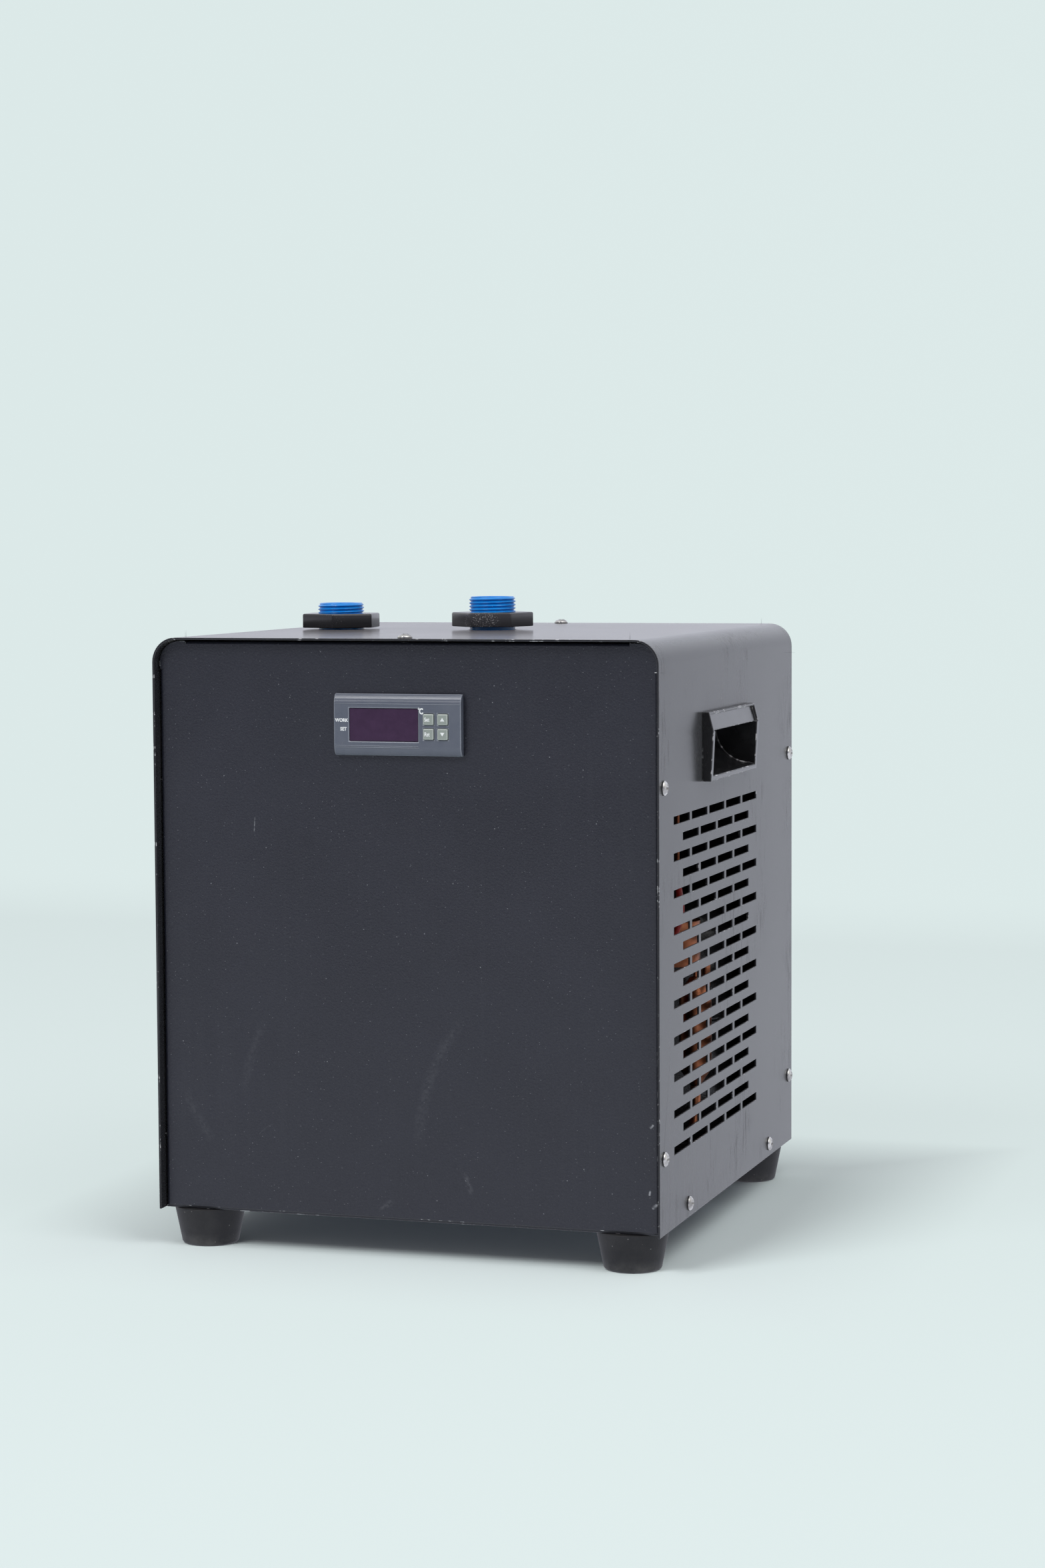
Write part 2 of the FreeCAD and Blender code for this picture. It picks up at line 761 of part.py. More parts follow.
tray_holes = sketch_on(tray, "TrayHoles", "XY")
CORNERS = [("-", "-"), ("+", "-"), ("-", "+"), ("+", "+")]
for east, north in CORNERS:
    circle(tray_holes, f"0 {east} {FOOT_X}", f"0 {north} {FOOT_Y}", "Sizes.foot_bore")
    circle(
        tray_holes,
        f"{COMPRESSOR_X} {east} Sizes.grommet_x",
        f"{COMPRESSOR_Y} {north} Sizes.grommet_y",
        "Sizes.bolt_radius + Sizes.hole_gap",
    )
pocket(tray, tray_holes)
tray_pilots = sketch_on(tray, "TrayPilots", "YZ")
for side in ("-", ""):
    circle(tray_pilots, side + BASE_SCREW_Y, SCREW_BASE, PILOT_HOLE)
pocket(tray, tray_pilots)
part("base_tray", tray)


# The feet: tapered rubber, with a sunk hole for the screw
def foot(node, east, north):
    body = new_body(node.title().replace("_", ""))
    section = sketch_on(body, body.Name + "Section", "XZ")
    outline(
        section,
        [
            ("Sizes.foot_counterbore", "0"),
            ("Sizes.foot_bottom_radius - Sizes.foot_edge", "0", "Sizes.foot_edge", 1),
            ("Sizes.foot_bottom_radius", "Sizes.foot_edge"),
            ("Sizes.foot_top_radius", "Sizes.foot_height"),
            ("Sizes.foot_bore", "Sizes.foot_height"),
            ("Sizes.foot_bore", "Sizes.foot_height - Sizes.foot_web"),
            ("Sizes.foot_counterbore", "Sizes.foot_height - Sizes.foot_web"),
        ],
    )
    revolve(body, section)
    bind(body, {"Placement.Base.x": f"0 {east} {FOOT_X}", "Placement.Base.y": f"0 {north} {FOOT_Y}"})
    part(node, body)


FOOT_NAMES = ["foot_front_left", "foot_front_right", "foot_rear_left", "foot_rear_right"]
for node, (east, north) in zip(FOOT_NAMES, CORNERS):
    foot(node, east, north)


# Screws: a pan head that stands on its seat at z 0, and a plain shank for the thread
def screw(name, head_radius, head_height, radius, length):
    body = new_body(name)
    section = sketch_on(body, name + "Section", "XZ")
    outline(
        section,
        [
            ("0", f"-({length})"),
            (radius, f"-({length})"),
            (radius, "0"),
            (head_radius, "0"),
            (head_radius, f"{head_height} / 3"),
            (f"{head_radius} * 2 / 3", head_height),
            ("0", head_height),
        ],
    )
    revolve(body, section)
    return body


HEAD_EAST = Rotation(Vector(0, 1, 0), 90)
HEAD_WEST = Rotation(Vector(0, 1, 0), -90)
HEAD_DOWN = Rotation(Vector(1, 0, 0), 180)
HEAD_NORTH = Rotation(Vector(1, 0, 0), -90)

cover_screw = screw(
    "CoverScrew",
    "Sizes.screw_head_radius",
    "Sizes.screw_head_height",
    "Sizes.screw_radius",
    "Sizes.screw_length",
)
screws = []
for wall, rotation in ((HALF_WIDTH, HEAD_EAST), (f"-{HALF_WIDTH}", HEAD_WEST)):
    for side in ("-", ""):
        places = [(side + SCREW_PLANE, SCREW_HIGH), (side + SCREW_PLANE, SCREW_LOW)]
        places.append((side + BASE_SCREW_Y, SCREW_BASE))
        for y, z in places:
            name = f"CoverScrew{len(screws) + 1}"
            screws.append(copy_of(cover_screw, name, wall, y, z, rotation))
for side in ("-", ""):
    name = f"CoverScrew{len(screws) + 1}"
    screws.append(copy_of(cover_screw, name, "0", side + SCREW_PLANE, COVER_TOP))
group("cover_screws", screws)

foot_seat = "(Sizes.foot_height - Sizes.foot_web)"
foot_screw = screw(
    "FootScrew",
    "Sizes.screw_head_radius",
    "Sizes.screw_head_height",
    "Sizes.screw_radius",
    "Sizes.foot_web + Sizes.sheet + Sizes.nut_height",
)
foot_nut_blank = doc.addObject("Part::Prism", "FootNutBlank")
foot_nut_blank.Polygon = 6
bind(foot_nut_blank, {"Circumradius": "Sizes.nut_flats / sqrt(3)", "Height": "Sizes.nut_height"})
foot_nut_hole = rod("FootNutHole", "0", "0", "0", PILOT_HOLE, "Sizes.nut_height")
foot_nut = cut("FootNut", foot_nut_blank, foot_nut_hole)
foot_screws = []
foot_nuts = []
for number, (east, north) in enumerate(CORNERS, 1):
    x, y = f"0 {east} {FOOT_X}", f"0 {north} {FOOT_Y}"
    foot_screws.append(copy_of(foot_screw, f"FootScrew{number}", x, y, foot_seat, HEAD_DOWN))
    foot_nuts.append(copy_of(foot_nut, f"FootNut{number}", x, y, TRAY_TOP))
group("foot_screws", foot_screws)
group("foot_nuts", foot_nuts)


# The handles: a frame outside the wall, a slanted lip to pull on, and behind it a scooped pocket
def handle(node, turned):
    body = new_body(node.title().replace("_", ""))
    wall = HALF_WIDTH
    lip_bottom = f"({HANDLE_TOP} - Sizes.lip_height)"
    beyond = f"{wall} + Sizes.handle_lip_out + Sizes.handle_lap"
    floor_level = f"({HANDLE_BOTTOM} + Sizes.handle_lap + Sizes.handle_wall)"
    scoop_level = f"({floor_level} + Sizes.scoop_radius)"
    scoop_start = f"({wall} + Sizes.scoop_radius - Sizes.handle_depth + Sizes.handle_wall)"
    scoop_back = f"({scoop_start} - Sizes.scoop_radius)"
    scoop_roof = f"({HANDLE_TOP} - Sizes.handle_roof)"
    lip_back = f"{wall} - Sizes.lip_thickness"
    frame = sketch_on(body, body.Name + "Frame", "XZ")
    outline(
        frame,
        [
            (wall, HANDLE_BOTTOM),
            (f"{wall} + Sizes.handle_bottom_out", HANDLE_BOTTOM),
            (f"{wall} + Sizes.handle_lip_out", lip_bottom),
            (f"{wall} + Sizes.handle_top_out", HANDLE_TOP),
            (wall, HANDLE_TOP),
        ],
    )
    pad(body, frame, "Sizes.handle_width", both=True)
    tub = sketch_on(body, body.Name + "Tub", "XZ")
    tub_bottom = f"({HANDLE_BOTTOM} + Sizes.handle_lap)"
    tub_top = f"({HANDLE_TOP} - Sizes.handle_lap)"
    tub_back = f"({scoop_back} - Sizes.handle_wall)"
    outline(
        tub,
        [
            (scoop_start, tub_bottom),
            (scoop_start, tub_top),
            (tub_back, tub_top),
            (tub_back, scoop_level, "(Sizes.scoop_radius + Sizes.handle_wall)", 1),
        ],
    )
    pad(body, tub, "Sizes.handle_width - 2 * Sizes.handle_lap", both=True)
    scoop = sketch_on(body, body.Name + "Scoop", "XZ")
    outline(
        scoop,
        [
            (scoop_start, floor_level),
            (beyond, f"{floor_level} - Sizes.handle_lap"),
            (beyond, lip_bottom),
            (f"{lip_back} + Sizes.handle_lip_out", lip_bottom),
            (f"{lip_back} + Sizes.handle_top_out", scoop_roof),
            (scoop_back, scoop_roof),
            (scoop_back, scoop_level, "Sizes.scoop_radius", 1),
        ],
    )
    pocket(body, scoop, "Sizes.handle_width - 2 * Sizes.handle_lap - 2 * Sizes.handle_side")
    lip = sketch_on(body, body.Name + "Lip", "XZ")
    lip_face = f"{wall} - Sizes.lip_recess"
    outline(
        lip,
        [
            (f"{lip_face} + Sizes.handle_top_out", f"{HANDLE_TOP} - Sizes.lip_recess"),
            (f"{lip_face} + Sizes.handle_lip_out", lip_bottom),
            (beyond, lip_bottom),
            (beyond, f"{HANDLE_TOP} - Sizes.lip_recess"),
        ],
    )
    pocket(body, lip, "Sizes.handle_width - 2 * Sizes.handle_side")
    body.Placement = Placement(Vector(), Rotation(Vector(0, 0, 1), 180 if turned else 0))
    bind(body, {"Placement.Base.y": HANDLE_Y})
    part(node, body)


handle("handle_right", False)
handle("handle_left", True)


# The controller's bezel: a moulded face whose upper and lower bands roll back, with openings for the
# display window and the four keys
BEZEL_FRONT = f"(-{PANEL_FACE} - Sizes.bezel_thickness)"
CONTROLLER_X = "Sizes.controller_x"
half_bezel = "(Sizes.bezel_height / 2)"
KEYS = {
    "key_set": ("Sizes.key_left", "Sizes.key_upper"),
    "key_up": ("Sizes.key_right", "Sizes.key_upper"),
    "key_reset": ("Sizes.key_left", "Sizes.key_lower"),
    "key_down": ("Sizes.key_right", "Sizes.key_lower"),
}

bezel = new_body("Bezel")
bezel_section = sketch_on(bezel, "BezelSection", "YZ", CONTROLLER_X)
fall = "(Sizes.bezel_thickness - Sizes.bezel_edge)"
band_radius = f"((Sizes.bezel_band * Sizes.bezel_band + {fall} * {fall}) / (2 * {fall}))"
edge_front = f"(-{PANEL_FACE} - Sizes.bezel_edge)"
outline(
    bezel_section,
    [
        (f"-{PANEL_FACE}", f"{CONTROLLER_Z} - {half_bezel}"),
        (f"-{PANEL_FACE}", f"{CONTROLLER_Z} + {half_bezel}"),
        (edge_front, f"{CONTROLLER_Z} + {half_bezel}", band_radius, 1),
        (BEZEL_FRONT, f"{CONTROLLER_Z} + {half_bezel} - Sizes.bezel_band"),
        (BEZEL_FRONT, f"{CONTROLLER_Z} - {half_bezel} + Sizes.bezel_band", band_radius, 1),
        (edge_front, f"{CONTROLLER_Z} - {half_bezel}"),
    ],
)
pad(bezel, bezel_section, "Sizes.bezel_width", both=True)
bezel_holes = sketch_on(bezel, "BezelHoles", "XZ")
window_x = f"({CONTROLLER_X} + Sizes.window_shift)"
rectangle(
    bezel_holes,
    f"{window_x} - Sizes.window_width / 2",
    f"{window_x} + Sizes.window_width / 2",
    f"{CONTROLLER_Z} - Sizes.window_height / 2",
    f"{CONTROLLER_Z} + Sizes.window_height / 2",
)
key_hole = "(Sizes.key_size / 2 + Sizes.key_gap)"
for x, z in KEYS.values():
    rectangle(
        bezel_holes,
        f"{CONTROLLER_X} + {x} - {key_hole}",
        f"{CONTROLLER_X} + {x} + {key_hole}",
        f"{CONTROLLER_Z} + {z} - {key_hole}",
        f"{CONTROLLER_Z} + {z} + {key_hole}",
    )
pocket(bezel, bezel_holes)
part("controller_bezel", bezel)

half_window = "(Sizes.window_width / 2 - Sizes.window_gap)"
half_window_height = "(Sizes.window_height / 2 - Sizes.window_gap)"
WINDOW_BACK = f"({BEZEL_FRONT} + Sizes.window_sunk + Sizes.window_thickness)"
window = block(
    "Window",
    (f"{window_x} - {half_window}", f"{window_x} + {half_window}"),
    (f"{BEZEL_FRONT} + Sizes.window_sunk", WINDOW_BACK),
    (f"{CONTROLLER_Z} - {half_window_height}", f"{CONTROLLER_Z} + {half_window_height}"),
)
part("display_window", window)


# The keys: a square cap, a flange that keeps it behind the bezel, and a stem over its switch
KEY_BACK = f"(Sizes.key_seat - {PANEL_FACE})"
STEM_END = f"({KEY_BACK} + Sizes.key_flange_height + Sizes.key_stem_length)"
for node, (x, z) in KEYS.items():
    name = node.title().replace("_", "")
    key_x, key_z = f"({CONTROLLER_X} + {x})", f"({CONTROLLER_Z} + {z})"
    half_cap = "(Sizes.key_size / 2)"
    half_flange = "(Sizes.key_size / 2 + Sizes.key_flange)"
    cap = block(
        name + "Cap",
        (f"{key_x} - {half_cap}", f"{key_x} + {half_cap}"),
        (f"{BEZEL_FRONT} - Sizes.key_out", KEY_BACK),
        (f"{key_z} - {half_cap}", f"{key_z} + {half_cap}"),
    )
    flange = block(
        name + "Flange",
        (f"{key_x} - {half_flange}", f"{key_x} + {half_flange}"),
        (KEY_BACK, f"{KEY_BACK} + Sizes.key_flange_height"),
        (f"{key_z} - {half_flange}", f"{key_z} + {half_flange}"),
    )
    stem_start = f"{KEY_BACK} + Sizes.key_flange_height"
    stem_length = "Sizes.key_stem_length"
    stem = rod(name + "Stem", key_x, stem_start, key_z, "Sizes.key_stem", stem_length, "Y")
    part(node, fuse(name, cap, flange, stem))


# The controller's case behind the panel, with its board, clips and terminals
CASE_REAR = f"(Sizes.case_length - {PANEL_FACE})"
case_side = "(Sizes.cutout_width / 2 - Sizes.fit_gap)"
case_half_height = "(Sizes.cutout_height / 2 - Sizes.fit_gap)"
BOARD_FRONT = f"({STEM_END} + Sizes.key_play + Sizes.switch_height)"


def centred(half, middle):
    return (f"{middle} - {half}", f"{middle} + {half}")


case_solid = block(
    "CaseSolid",
    centred(case_side, CONTROLLER_X),
    (f"-{PANEL_FACE}", CASE_REAR),
    centred(case_half_height, CONTROLLER_Z),
)
case_hollow = block(
    "CaseHollow",
    centred(f"({case_side} - Sizes.case_wall)", CONTROLLER_X),
    (f"-{PANEL_FACE}", f"{CASE_REAR} - Sizes.case_wall"),
    centred(f"({case_half_height} - Sizes.case_wall)", CONTROLLER_Z),
)
part("controller_case", cut("ControllerCase", case_solid, case_hollow))

board_side = f"({case_side} - Sizes.case_wall - Sizes.window_gap)"
board_height = f"({case_half_height} - Sizes.case_wall - Sizes.window_gap)"
board_pieces = [
    block(
        "Board",
        centred(board_side, CONTROLLER_X),
        (BOARD_FRONT, f"{BOARD_FRONT} + Sizes.board_thickness"),
        centred(board_height, CONTROLLER_Z),
    ),
    block(
        "Display",
        centred("(Sizes.window_width / 2 - Sizes.case_wall)", window_x),
        (f"{WINDOW_BACK} + Sizes.fit_gap", BOARD_FRONT),
        centred("(Sizes.window_height / 2 - Sizes.case_wall)", CONTROLLER_Z),
    ),
]
for node, (x, z) in KEYS.items():
    board_pieces.append(
        block(
            "Switch" + node.title().replace("_", ""),
            centred("(Sizes.key_size / 2)", f"({CONTROLLER_X} + {x})"),
            (f"{BOARD_FRONT} - Sizes.switch_height", BOARD_FRONT),
            centred("(Sizes.key_size / 2)", f"({CONTROLLER_Z} + {z})"),
        )
    )
part("controller_board", fuse("ControllerBoard", *board_pieces))

clip_inner = f"({case_side})"
clip_outer = f"({case_side} + Sizes.clip_thickness)"
clip_y = (f"-{PANEL_BACK}", f"Sizes.clip_length - {PANEL_BACK}")
clip_z = centred("(Sizes.clip_height / 2)", CONTROLLER_Z)
clips = [
    block(
        "ClipLeft",
        (f"{CONTROLLER_X} - {clip_outer}", f"{CONTROLLER_X} - {clip_inner}"),
        clip_y,
        clip_z,
    ),
    block(
        "ClipRight",
        (f"{CONTROLLER_X} + {clip_inner}", f"{CONTROLLER_X} + {clip_outer}"),
        clip_y,
        clip_z,
    ),
]
group("controller_clips", clips)

TERMINAL_REAR = f"({CASE_REAR} + Sizes.terminal_depth)"
terminal = block(
    "Terminal",
    centred("(Sizes.terminal_width / 2)", CONTROLLER_X),
    (CASE_REAR, TERMINAL_REAR),
    centred("(Sizes.terminal_height / 2)", CONTROLLER_Z),
)
part("terminal_block", terminal)


# The power inlet in the rear panel: an appliance socket with three flat pins, and its two screws
INLET_X = "Sizes.inlet_x"
INLET_BACK = f"({PANEL_FACE} - Sizes.inlet_body_depth)"
INLET_FRONT = f"({PANEL_FACE} + Sizes.inlet_flange_thickness)"
inlet_flange = block(
    "InletFlange",
    centred("(Sizes.inlet_flange_width / 2)", INLET_X),
    (PANEL_FACE, INLET_FRONT),
    centred("(Sizes.inlet_flange_height / 2)", INLET_Z),
)
inlet_body = block(
    "InletBody",
    centred("(Sizes.inlet_body_width / 2)", INLET_X),
    (INLET_BACK, PANEL_FACE),
    centred("(Sizes.inlet_body_height / 2)", INLET_Z),
)
inlet_cavity = block(
    "InletCavity",
    centred("(Sizes.inlet_cavity_width / 2)", INLET_X),
    (f"{INLET_FRONT} - Sizes.inlet_cavity_depth", INLET_FRONT),
    centred("(Sizes.inlet_cavity_height / 2)", INLET_Z),
)
inlet_screw_holes = [
    rod(
        f"InletScrewHole{side}",
        f"{INLET_X} {sign} Sizes.inlet_screw_pitch / 2",
        PANEL_FACE,
        INLET_Z,
        SCREW_HOLE,
        "Sizes.inlet_flange_thickness",
        "Y",
    )
    for side, sign in (("Left", "-"), ("Right", "+"))
]
inlet_solid = fuse("InletSolid", inlet_flange, inlet_body)
part("power_inlet", cut("PowerInlet", inlet_solid, inlet_cavity, *inlet_screw_holes))

pins = []
for name, x, z in (
    ("LivePin", f"{INLET_X} - Sizes.pin_pitch", f"{INLET_Z} - Sizes.pin_rise"),
    ("NeutralPin", f"{INLET_X} + Sizes.pin_pitch", f"{INLET_Z} - Sizes.pin_rise"),
    ("EarthPin", INLET_X, f"{INLET_Z} + Sizes.pin_rise"),
):
    pin_z = centred("(Sizes.pin_height / 2)", f"({z})")
    pin_y = (f"{INLET_FRONT} - Sizes.inlet_cavity_depth", PANEL_FACE)
    pins.append(block(name, centred("(Sizes.pin_width / 2)", f"({x})"), pin_y, pin_z))
group("inlet_pins", pins)

inlet_screw = screw(
    "InletScrew",
    "Sizes.screw_head_radius * 3 / 4",
    "Sizes.screw_head_height * 3 / 4",
    "Sizes.screw_radius",
    "Sizes.inlet_flange_thickness + Sizes.screw_length / 2",
)
inlet_screws = [
    copy_of(
        inlet_screw,
        f"InletScrew{side}",
        f"{INLET_X} {sign} Sizes.inlet_screw_pitch / 2",
        INLET_FRONT,
        INLET_Z,
        HEAD_NORTH,
    )
    for side, sign in (("Left", "-"), ("Right", "+"))
]
group("inlet_screws", inlet_screws)


# The water barrel: a capped plastic tube that lies under the top, with a boss for each union
BARREL_Z = f"({COVER_TOP} - Sizes.barrel_drop - Sizes.sheet)"
BARREL_LEFT = f"({PORT_MIDDLE} - Sizes.barrel_length / 2)"
BARREL_RIGHT = f"({PORT_MIDDLE} + Sizes.barrel_length / 2)"
BOSS_TOP = f"({ROOF} - Sizes.boss_drop)"
barrel_bore = "(Sizes.barrel_radius - Sizes.barrel_wall)"
UNION_BOTTOM = f"({BARREL_Z} + {barrel_bore})"


def along_barrel(name, radius, start=BARREL_LEFT, length="Sizes.barrel_length"):
    return rod(name, start, PORT_Y, BARREL_Z, radius, length, "X")


def bosses(name, radius, top=BOSS_TOP):
    return [
        rod(f"{name}{side.title()}", x, PORT_Y, BARREL_Z, radius, f"{top} - {BARREL_Z}")
        for side, x in PORTS.items()
    ]


barrel_outside = along_barrel("BarrelOutside", "Sizes.barrel_radius")
barrel_inside = along_barrel("BarrelInside", barrel_bore)
barrel_solid = fuse("BarrelSolid", barrel_outside, *bosses("Boss", "Sizes.boss_radius"))
boss_bores = bosses("BossBore", "Sizes.neck_radius + Sizes.thread_gap")
part("barrel_tube", cut("Barrel", barrel_solid, barrel_inside, *boss_bores))

part(
    "barrel_cap_left",
    along_barrel(
        "CapLeft", "Sizes.cap_radius", f"{BARREL_LEFT} - Sizes.cap_thickness", "Sizes.cap_thickness"
    ),
)
TAIL_LOW = f"({BARREL_Z} - Sizes.tail_offset)"
TAIL_Y = f"({PORT_Y} - Sizes.tail_offset)"
PROBE_Z = f"({BARREL_Z} + Sizes.tail_offset)"
CAP_FACE = f"({BARREL_RIGHT} + Sizes.cap_thickness)"
cap_holes = [
    rod(
        name,
        BARREL_RIGHT,
        y,
        z,
        f"{radius} + Sizes.pilot_gap",
        "Sizes.cap_thickness",
        "X",
    )
    for name, y, z, radius in (
        ("SuctionHole", PORT_Y, TAIL_LOW, "Sizes.coil_tail_radius"),
        ("LiquidHole", TAIL_Y, BARREL_Z, "Sizes.coil_tail_radius"),
        ("ProbeHole", PORT_Y, PROBE_Z, "Sizes.probe_radius"),
    )
]
cap_right = along_barrel("CapRightSolid", "Sizes.cap_radius", BARREL_RIGHT, "Sizes.cap_thickness")
part("barrel_cap_right", cut("CapRight", cap_right, *cap_holes))

# The titanium coil inside the barrel is one sleeve of the turns' outer shape, with its two ends
coil_start = f"({PORT_MIDDLE} - Sizes.coil_length / 2)"
coil_middle = "((Sizes.coil_outer + Sizes.coil_inner) / 2)"
coil_sleeve = cut(
    "CoilSleeve",
    along_barrel("CoilOuter", "Sizes.coil_outer", coil_start, "Sizes.coil_length"),
    along_barrel("CoilInner", "Sizes.coil_inner", coil_start, "Sizes.coil_length"),
)
coil_end = f"({coil_start} + Sizes.coil_length)"
tails = []
for name, y, z in (("SuctionTail", PORT_Y, TAIL_LOW), ("LiquidTail", TAIL_Y, BARREL_Z)):
    reach = f"{CAP_FACE} - {coil_end} + Sizes.coil_tail_radius"
    start = f"{coil_end} - Sizes.coil_tail_radius"
    tails.append(rod(name, start, y, z, "Sizes.coil_tail_radius", reach, "X"))
ring_seat = rod(
    "CoilRing",
    f"{coil_end} - Sizes.coil_tail_radius",
    PORT_Y,
    BARREL_Z,
    "Sizes.coil_outer",
    "Sizes.coil_tail_radius",
    "X",
)
ring_hole = rod(
    "CoilRingHole",
    f"{coil_end} - Sizes.coil_tail_radius",
    PORT_Y,
    BARREL_Z,
    "Sizes.tail_offset - Sizes.coil_tail_radius",
    "Sizes.coil_tail_radius",
    "X",
)
coil_ring = cut("CoilRingCut", ring_seat, ring_hole)
part("titanium_coil", fuse("TitaniumCoil", coil_sleeve, coil_ring, *tails))

insulation_radius = "(Sizes.barrel_radius + Sizes.insulation)"
insulation = cut(
    "Insulation",
    along_barrel("InsulationSolid", insulation_radius),
    along_barrel("InsulationBore", "Sizes.barrel_radius + Sizes.insulation_gap"),
    *bosses("InsulationHole", "Sizes.boss_radius + Sizes.insulation_gap"),
)
part("barrel_insulation", insulation)


# The unions screw into the bosses and stand through the cover, each with a seal and a lock nut. A
# smooth neck reaches up to the top of the nut, and a fitting screws on the thread above it
RISES = {"left": "Sizes.union_left_rise", "right": "Sizes.union_right_rise"}
LIFTS = {"left": "Sizes.nut_left_lift", "right": "Sizes.nut_right_lift"}
TURNS = {"left": "Sizes.nut_left_turn", "right": "Sizes.nut_right_turn"}
seals = []
for side, x in PORTS.items():
    name = side.title()
    height = f"{COVER_TOP} + {RISES[side]} - {UNION_BOTTOM}"
    nut_top = f"({COVER_TOP} + {LIFTS[side]} + Sizes.lock_nut_height)"
    thread_height = f"{COVER_TOP} + {RISES[side]} - {nut_top}"
    neck = rod(f"Union{name}Neck", x, PORT_Y, UNION_BOTTOM, "Sizes.neck_radius", height)
    thread = rod(f"Union{name}Thread", x, PORT_Y, nut_top, "Sizes.thread_radius", thread_height)
    tube = fuse(f"Union{name}Solid", neck, thread)
    bore = rod(f"Union{name}Bore", x, PORT_Y, UNION_BOTTOM, "Sizes.union_bore", height)
    part(f"union_{side}", cut(f"Union{name}", tube, bore))

    seal = rod(f"Seal{name}Solid", x, PORT_Y, BOSS_TOP, "Sizes.boss_radius", f"{ROOF} - {BOSS_TOP}")
    seal_radius = "Sizes.neck_radius + Sizes.fit_gap"
    seal_hole = rod(f"Seal{name}Hole", x, PORT_Y, BOSS_TOP, seal_radius, f"{ROOF} - {BOSS_TOP}")
    seals.append(cut(f"Seal{name}", seal, seal_hole))

    body = new_body(f"Nut{name}")
    hexagon = sketch_on(body, f"Nut{name}Hexagon", "XY")
    across = "(Sizes.lock_nut_flats / sqrt(3))"
    corners = []
    for step in range(6):
        corner_angle = f"({60 * step - 90} - {TURNS[side]})"
        corners.append((f"{across} * cos({corner_angle})", f"{across} * sin({corner_angle})"))
    outline(hexagon, corners)
    circle(hexagon, "0", "0", "Sizes.neck_radius + Sizes.thread_gap")
    nut_pad = pad(body, hexagon, "Sizes.lock_nut_height")
    top_edges = []
    for index, edge in enumerate(nut_pad.Shape.Edges, 1):
        flat = edge.BoundBox.ZMin > value("Sizes.lock_nut_height / 2")
        if flat and len(edge.Vertexes) == 2:
            top_edges.append(f"Edge{index}")
    rounding = body.newObject("PartDesign::Chamfer", f"Nut{name}Chamfer")
    rounding.Base = (nut_pad, top_edges)
    bind(rounding, {"Size": "Sizes.lock_nut_edge"})
    bind(
        body,
        {
            "Placement.Base.x": x,
            "Placement.Base.y": PORT_Y,
            "Placement.Base.z": f"{COVER_TOP} + {LIFTS[side]}",
        },
    )
    part(f"nut_{side}", body)
group("union_seals", seals)


# The shelf that carries the barrel: a plate from the condenser's top to a leg on the tray, with two
# foam saddles
CONDENSER_LEFT = f"(Sizes.sheet + Sizes.condenser_gap - {HALF_WIDTH})"
CONDENSER_RIGHT = f"({CONDENSER_LEFT} + Sizes.condenser_thickness)"
CONDENSER_BASE = f"({TRAY_TOP} + Sizes.condenser_lift)"
SHELF_TOP = f"({BARREL_Z} - {insulation_radius} - Sizes.saddle_base)"
CONDENSER_TOP = f"({SHELF_TOP} - Sizes.sheet)"
shelf_y = centred("(Sizes.shelf_depth / 2)", PORT_Y)
leg_y = centred("(Sizes.shelf_leg_width / 2)", PORT_Y)
leg_outer = "(Sizes.shelf_leg_x + Sizes.sheet)"
shelf_plate = block("ShelfPlate", (CONDENSER_LEFT, leg_outer), shelf_y, (CONDENSER_TOP, SHELF_TOP))
shelf_leg = block("ShelfLeg", ("Sizes.shelf_leg_x", leg_outer), leg_y, (TRAY_TOP, CONDENSER_TOP))
shelf_foot = block(
    "ShelfFoot",
    ("Sizes.shelf_leg_x - Sizes.shelf_leg_width / 2", "Sizes.shelf_leg_x"),
    leg_y,
    (TRAY_TOP, f"{TRAY_TOP} + Sizes.sheet"),
)
part("barrel_shelf", fuse("Shelf", shelf_plate, shelf_leg, shelf_foot))

SADDLE_TOP = f"({BARREL_Z} - {insulation_radius} + Sizes.saddle_height / 2)"
saddles = []
for name, start in (
    ("SaddleLeft", f"({BARREL_LEFT} + Sizes.saddle_inset)"),
    ("SaddleRight", f"({BARREL_RIGHT} - Sizes.saddle_inset - Sizes.saddle_length)"),
):
    saddle_block = block(
        name + "Block",
        (start, f"{start} + Sizes.saddle_length"),
        centred("(Sizes.saddle_depth / 2)", PORT_Y),
        (SHELF_TOP, SADDLE_TOP),
    )
    hollow_radius = f"{insulation_radius} + Sizes.insulation_gap"
    hollow = along_barrel(name + "Hollow", hollow_radius, start, "Sizes.saddle_length")
    saddles.append(cut(name, saddle_block, hollow))
group("barrel_saddles", saddles)


